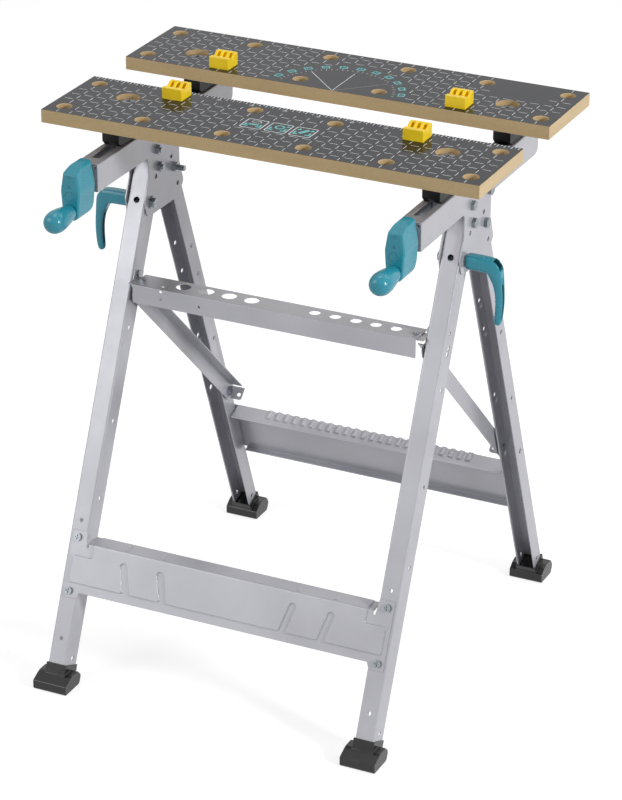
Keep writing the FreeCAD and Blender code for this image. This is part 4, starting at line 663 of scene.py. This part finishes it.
def printFan(name, jaw):
    # angle scale about the middle of the jaw's inner edge
    low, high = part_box(jaw)
    level = high.z + jawPrint["proud"]
    pale, teal, faint = bmesh.new(), bmesh.new(), bmesh.new()

    def around(radius, angle):
        return radius * math.cos(angle), low.y + radius * math.sin(angle)

    for degrees in range(10, 171, 5):
        angle = math.radians(degrees)
        x, y = around(fan["tickRadius"], angle)
        reach = fan["tickLong"] if degrees % fan["step"] == 0 else fan["tickShort"]
        flatBar(pale, x, y, level, reach, fan["tickLine"], angle)
    for degrees in range(15, 166, fan["step"]):
        angle = math.radians(degrees)
        x, y = around(fan["radius"], angle)
        drawFrame(teal, (x, y, level), fan["box"][0], fan["box"][1], fan["boxLine"],
                  fan["boxCorner"], angle - math.pi / 2)
        shown = degrees if degrees <= 90 else 180 - degrees
        drawText(teal, str(shown), (x, y, level), fan["number"], angle - math.pi / 2)
    for degrees, reach, inkName in fan["rays"]:
        angle = math.radians(degrees)
        x, y = around((fan["rayFrom"] + reach) / 2, angle)
        drawn = faint if inkName == "faint" else pale
        flatBar(drawn, x, y, level, reach - fan["rayFrom"], fan["rayLine"], angle)
    for suffix, drawn, inkMade in (("", pale, whiteInk), (".boxes", teal, tealInk),
                                   (".faint", faint, faintInk)):
        addPiece(name + suffix, meshFrom(drawn, name + suffix), inkMade, bodyOf(jaw))


printRuler("frontJaw.ruler", "front_jaw")
printSigns("frontJaw.signs", "front_jaw")
printFan("rearJaw.fan", "rear_jaw")
printLattice("frontJaw.lattice", "front_jaw", -1, onSigns)
printLattice("rearJaw.lattice", "rear_jaw", 1, onFan)
print("rulers, signs, fan and lattice printed")


# stage, lights and camera

cameraSetup = {"at": (1.81984, -3.81735, 2.34768), "down": 25.0912, "tilt": -0.3177,
               "turn": 25.398, "lens": 148.88, "shift": (-0.0048, -0.0003), "far": 50}
cameraData = bpy.data.cameras.new("camera")
camera = bpy.data.objects.new("camera", cameraData)
scene.collection.objects.link(camera)
cameraData.lens = cameraSetup["lens"]
cameraData.shift_x, cameraData.shift_y = cameraSetup["shift"]
cameraData.clip_end = cameraSetup["far"]
camera.location = cameraSetup["at"]
camera.rotation_euler = (math.radians(90 - cameraSetup["down"]),
                         math.radians(cameraSetup["tilt"]),
                         math.radians(cameraSetup["turn"]))
scene.camera = camera


studio = {"ambient": 0.30, "seen": 1.0, "floor": (0.50, 0.50, 0.50), "floorSeen": 0.70,
          "floorSize": 40, "floorLevel": -0.0005, "floorRough": 0.9, "aim": (0, 0, 0.45)}


def seenDirectly(tree):
    # 1 for what the camera, gloss and clear material see, 0 for light that bounces
    path = tree.nodes.new("ShaderNodeLightPath")
    seen = path.outputs["Is Camera Ray"]
    for other in ("Is Glossy Ray", "Is Transmission Ray"):
        either = tree.nodes.new("ShaderNodeMath")
        either.operation = "MAXIMUM"
        tree.links.new(seen, either.inputs[0])
        tree.links.new(path.outputs[other], either.inputs[1])
        seen = either.outputs[0]
    return seen


world = bpy.data.worlds.new("studio")
scene.world = world
world.use_nodes = True
tree = world.node_tree
background = tree.nodes["Background"]
background.inputs["Color"].default_value = (1, 1, 1, 1)
level = tree.nodes.new("ShaderNodeMix")
level.data_type = "FLOAT"
level.inputs["A"].default_value = studio["ambient"]
level.inputs["B"].default_value = studio["seen"]
tree.links.new(seenDirectly(tree), level.inputs["Factor"])
tree.links.new(level.outputs["Result"], background.inputs["Strength"])

floorMesh = bmesh.new()
bmesh.ops.create_grid(floorMesh, x_segments=1, y_segments=1, size=studio["floorSize"] / 2)
floor = bpy.data.objects.new("floor", meshFrom(floorMesh, "floor"))
scene.collection.objects.link(floor)
floor.location.z = studio["floorLevel"]
floorMaterial, floorShader = newMaterial("paleFloor")
floorShader.inputs["Base Color"].default_value = studio["floor"] + (1,)
floorShader.inputs["Roughness"].default_value = studio["floorRough"]
floorShader.inputs["Specular IOR Level"].default_value = 0.1
# the floor shows white and keeps the shadow: what is seen of it is lifted, its light is not
lift = floorMaterial.node_tree.nodes.new("ShaderNodeMath")
lift.operation = "MULTIPLY"
lift.inputs[1].default_value = studio["floorSeen"]
join(floorMaterial, seenDirectly(floorMaterial.node_tree), lift.inputs[0])
join(floorMaterial, lift.outputs[0], floorShader.inputs["Emission Strength"])
floorShader.inputs["Emission Color"].default_value = (1, 1, 1, 1)
floor.data.materials.append(floorMaterial)

lamps = {"key": {"at": (4.6, -1.1, 2.4), "size": 0.8, "power": 165},
         "top": {"at": (-0.4, 0.6, 4.6), "size": 1.6, "power": 25},
         "fill": {"at": (-3.1, -3.6, 2.6), "size": 2.6, "power": 80},
         "back": {"at": (2.0, 3.2, 3.6), "size": 2.0, "power": 25}}
for lampName, lamp in lamps.items():
    data = bpy.data.lights.new(lampName, "AREA")
    data.size = lamp["size"]
    data.energy = lamp["power"]
    holder = bpy.data.objects.new(lampName, data)
    scene.collection.objects.link(holder)
    holder.location = lamp["at"]
    aim = Vector(studio["aim"]) - holder.location
    holder.rotation_euler = aim.to_track_quat("-Z", "Y").to_euler()
print("stage and lights set")

scene.view_settings.view_transform = "Standard"
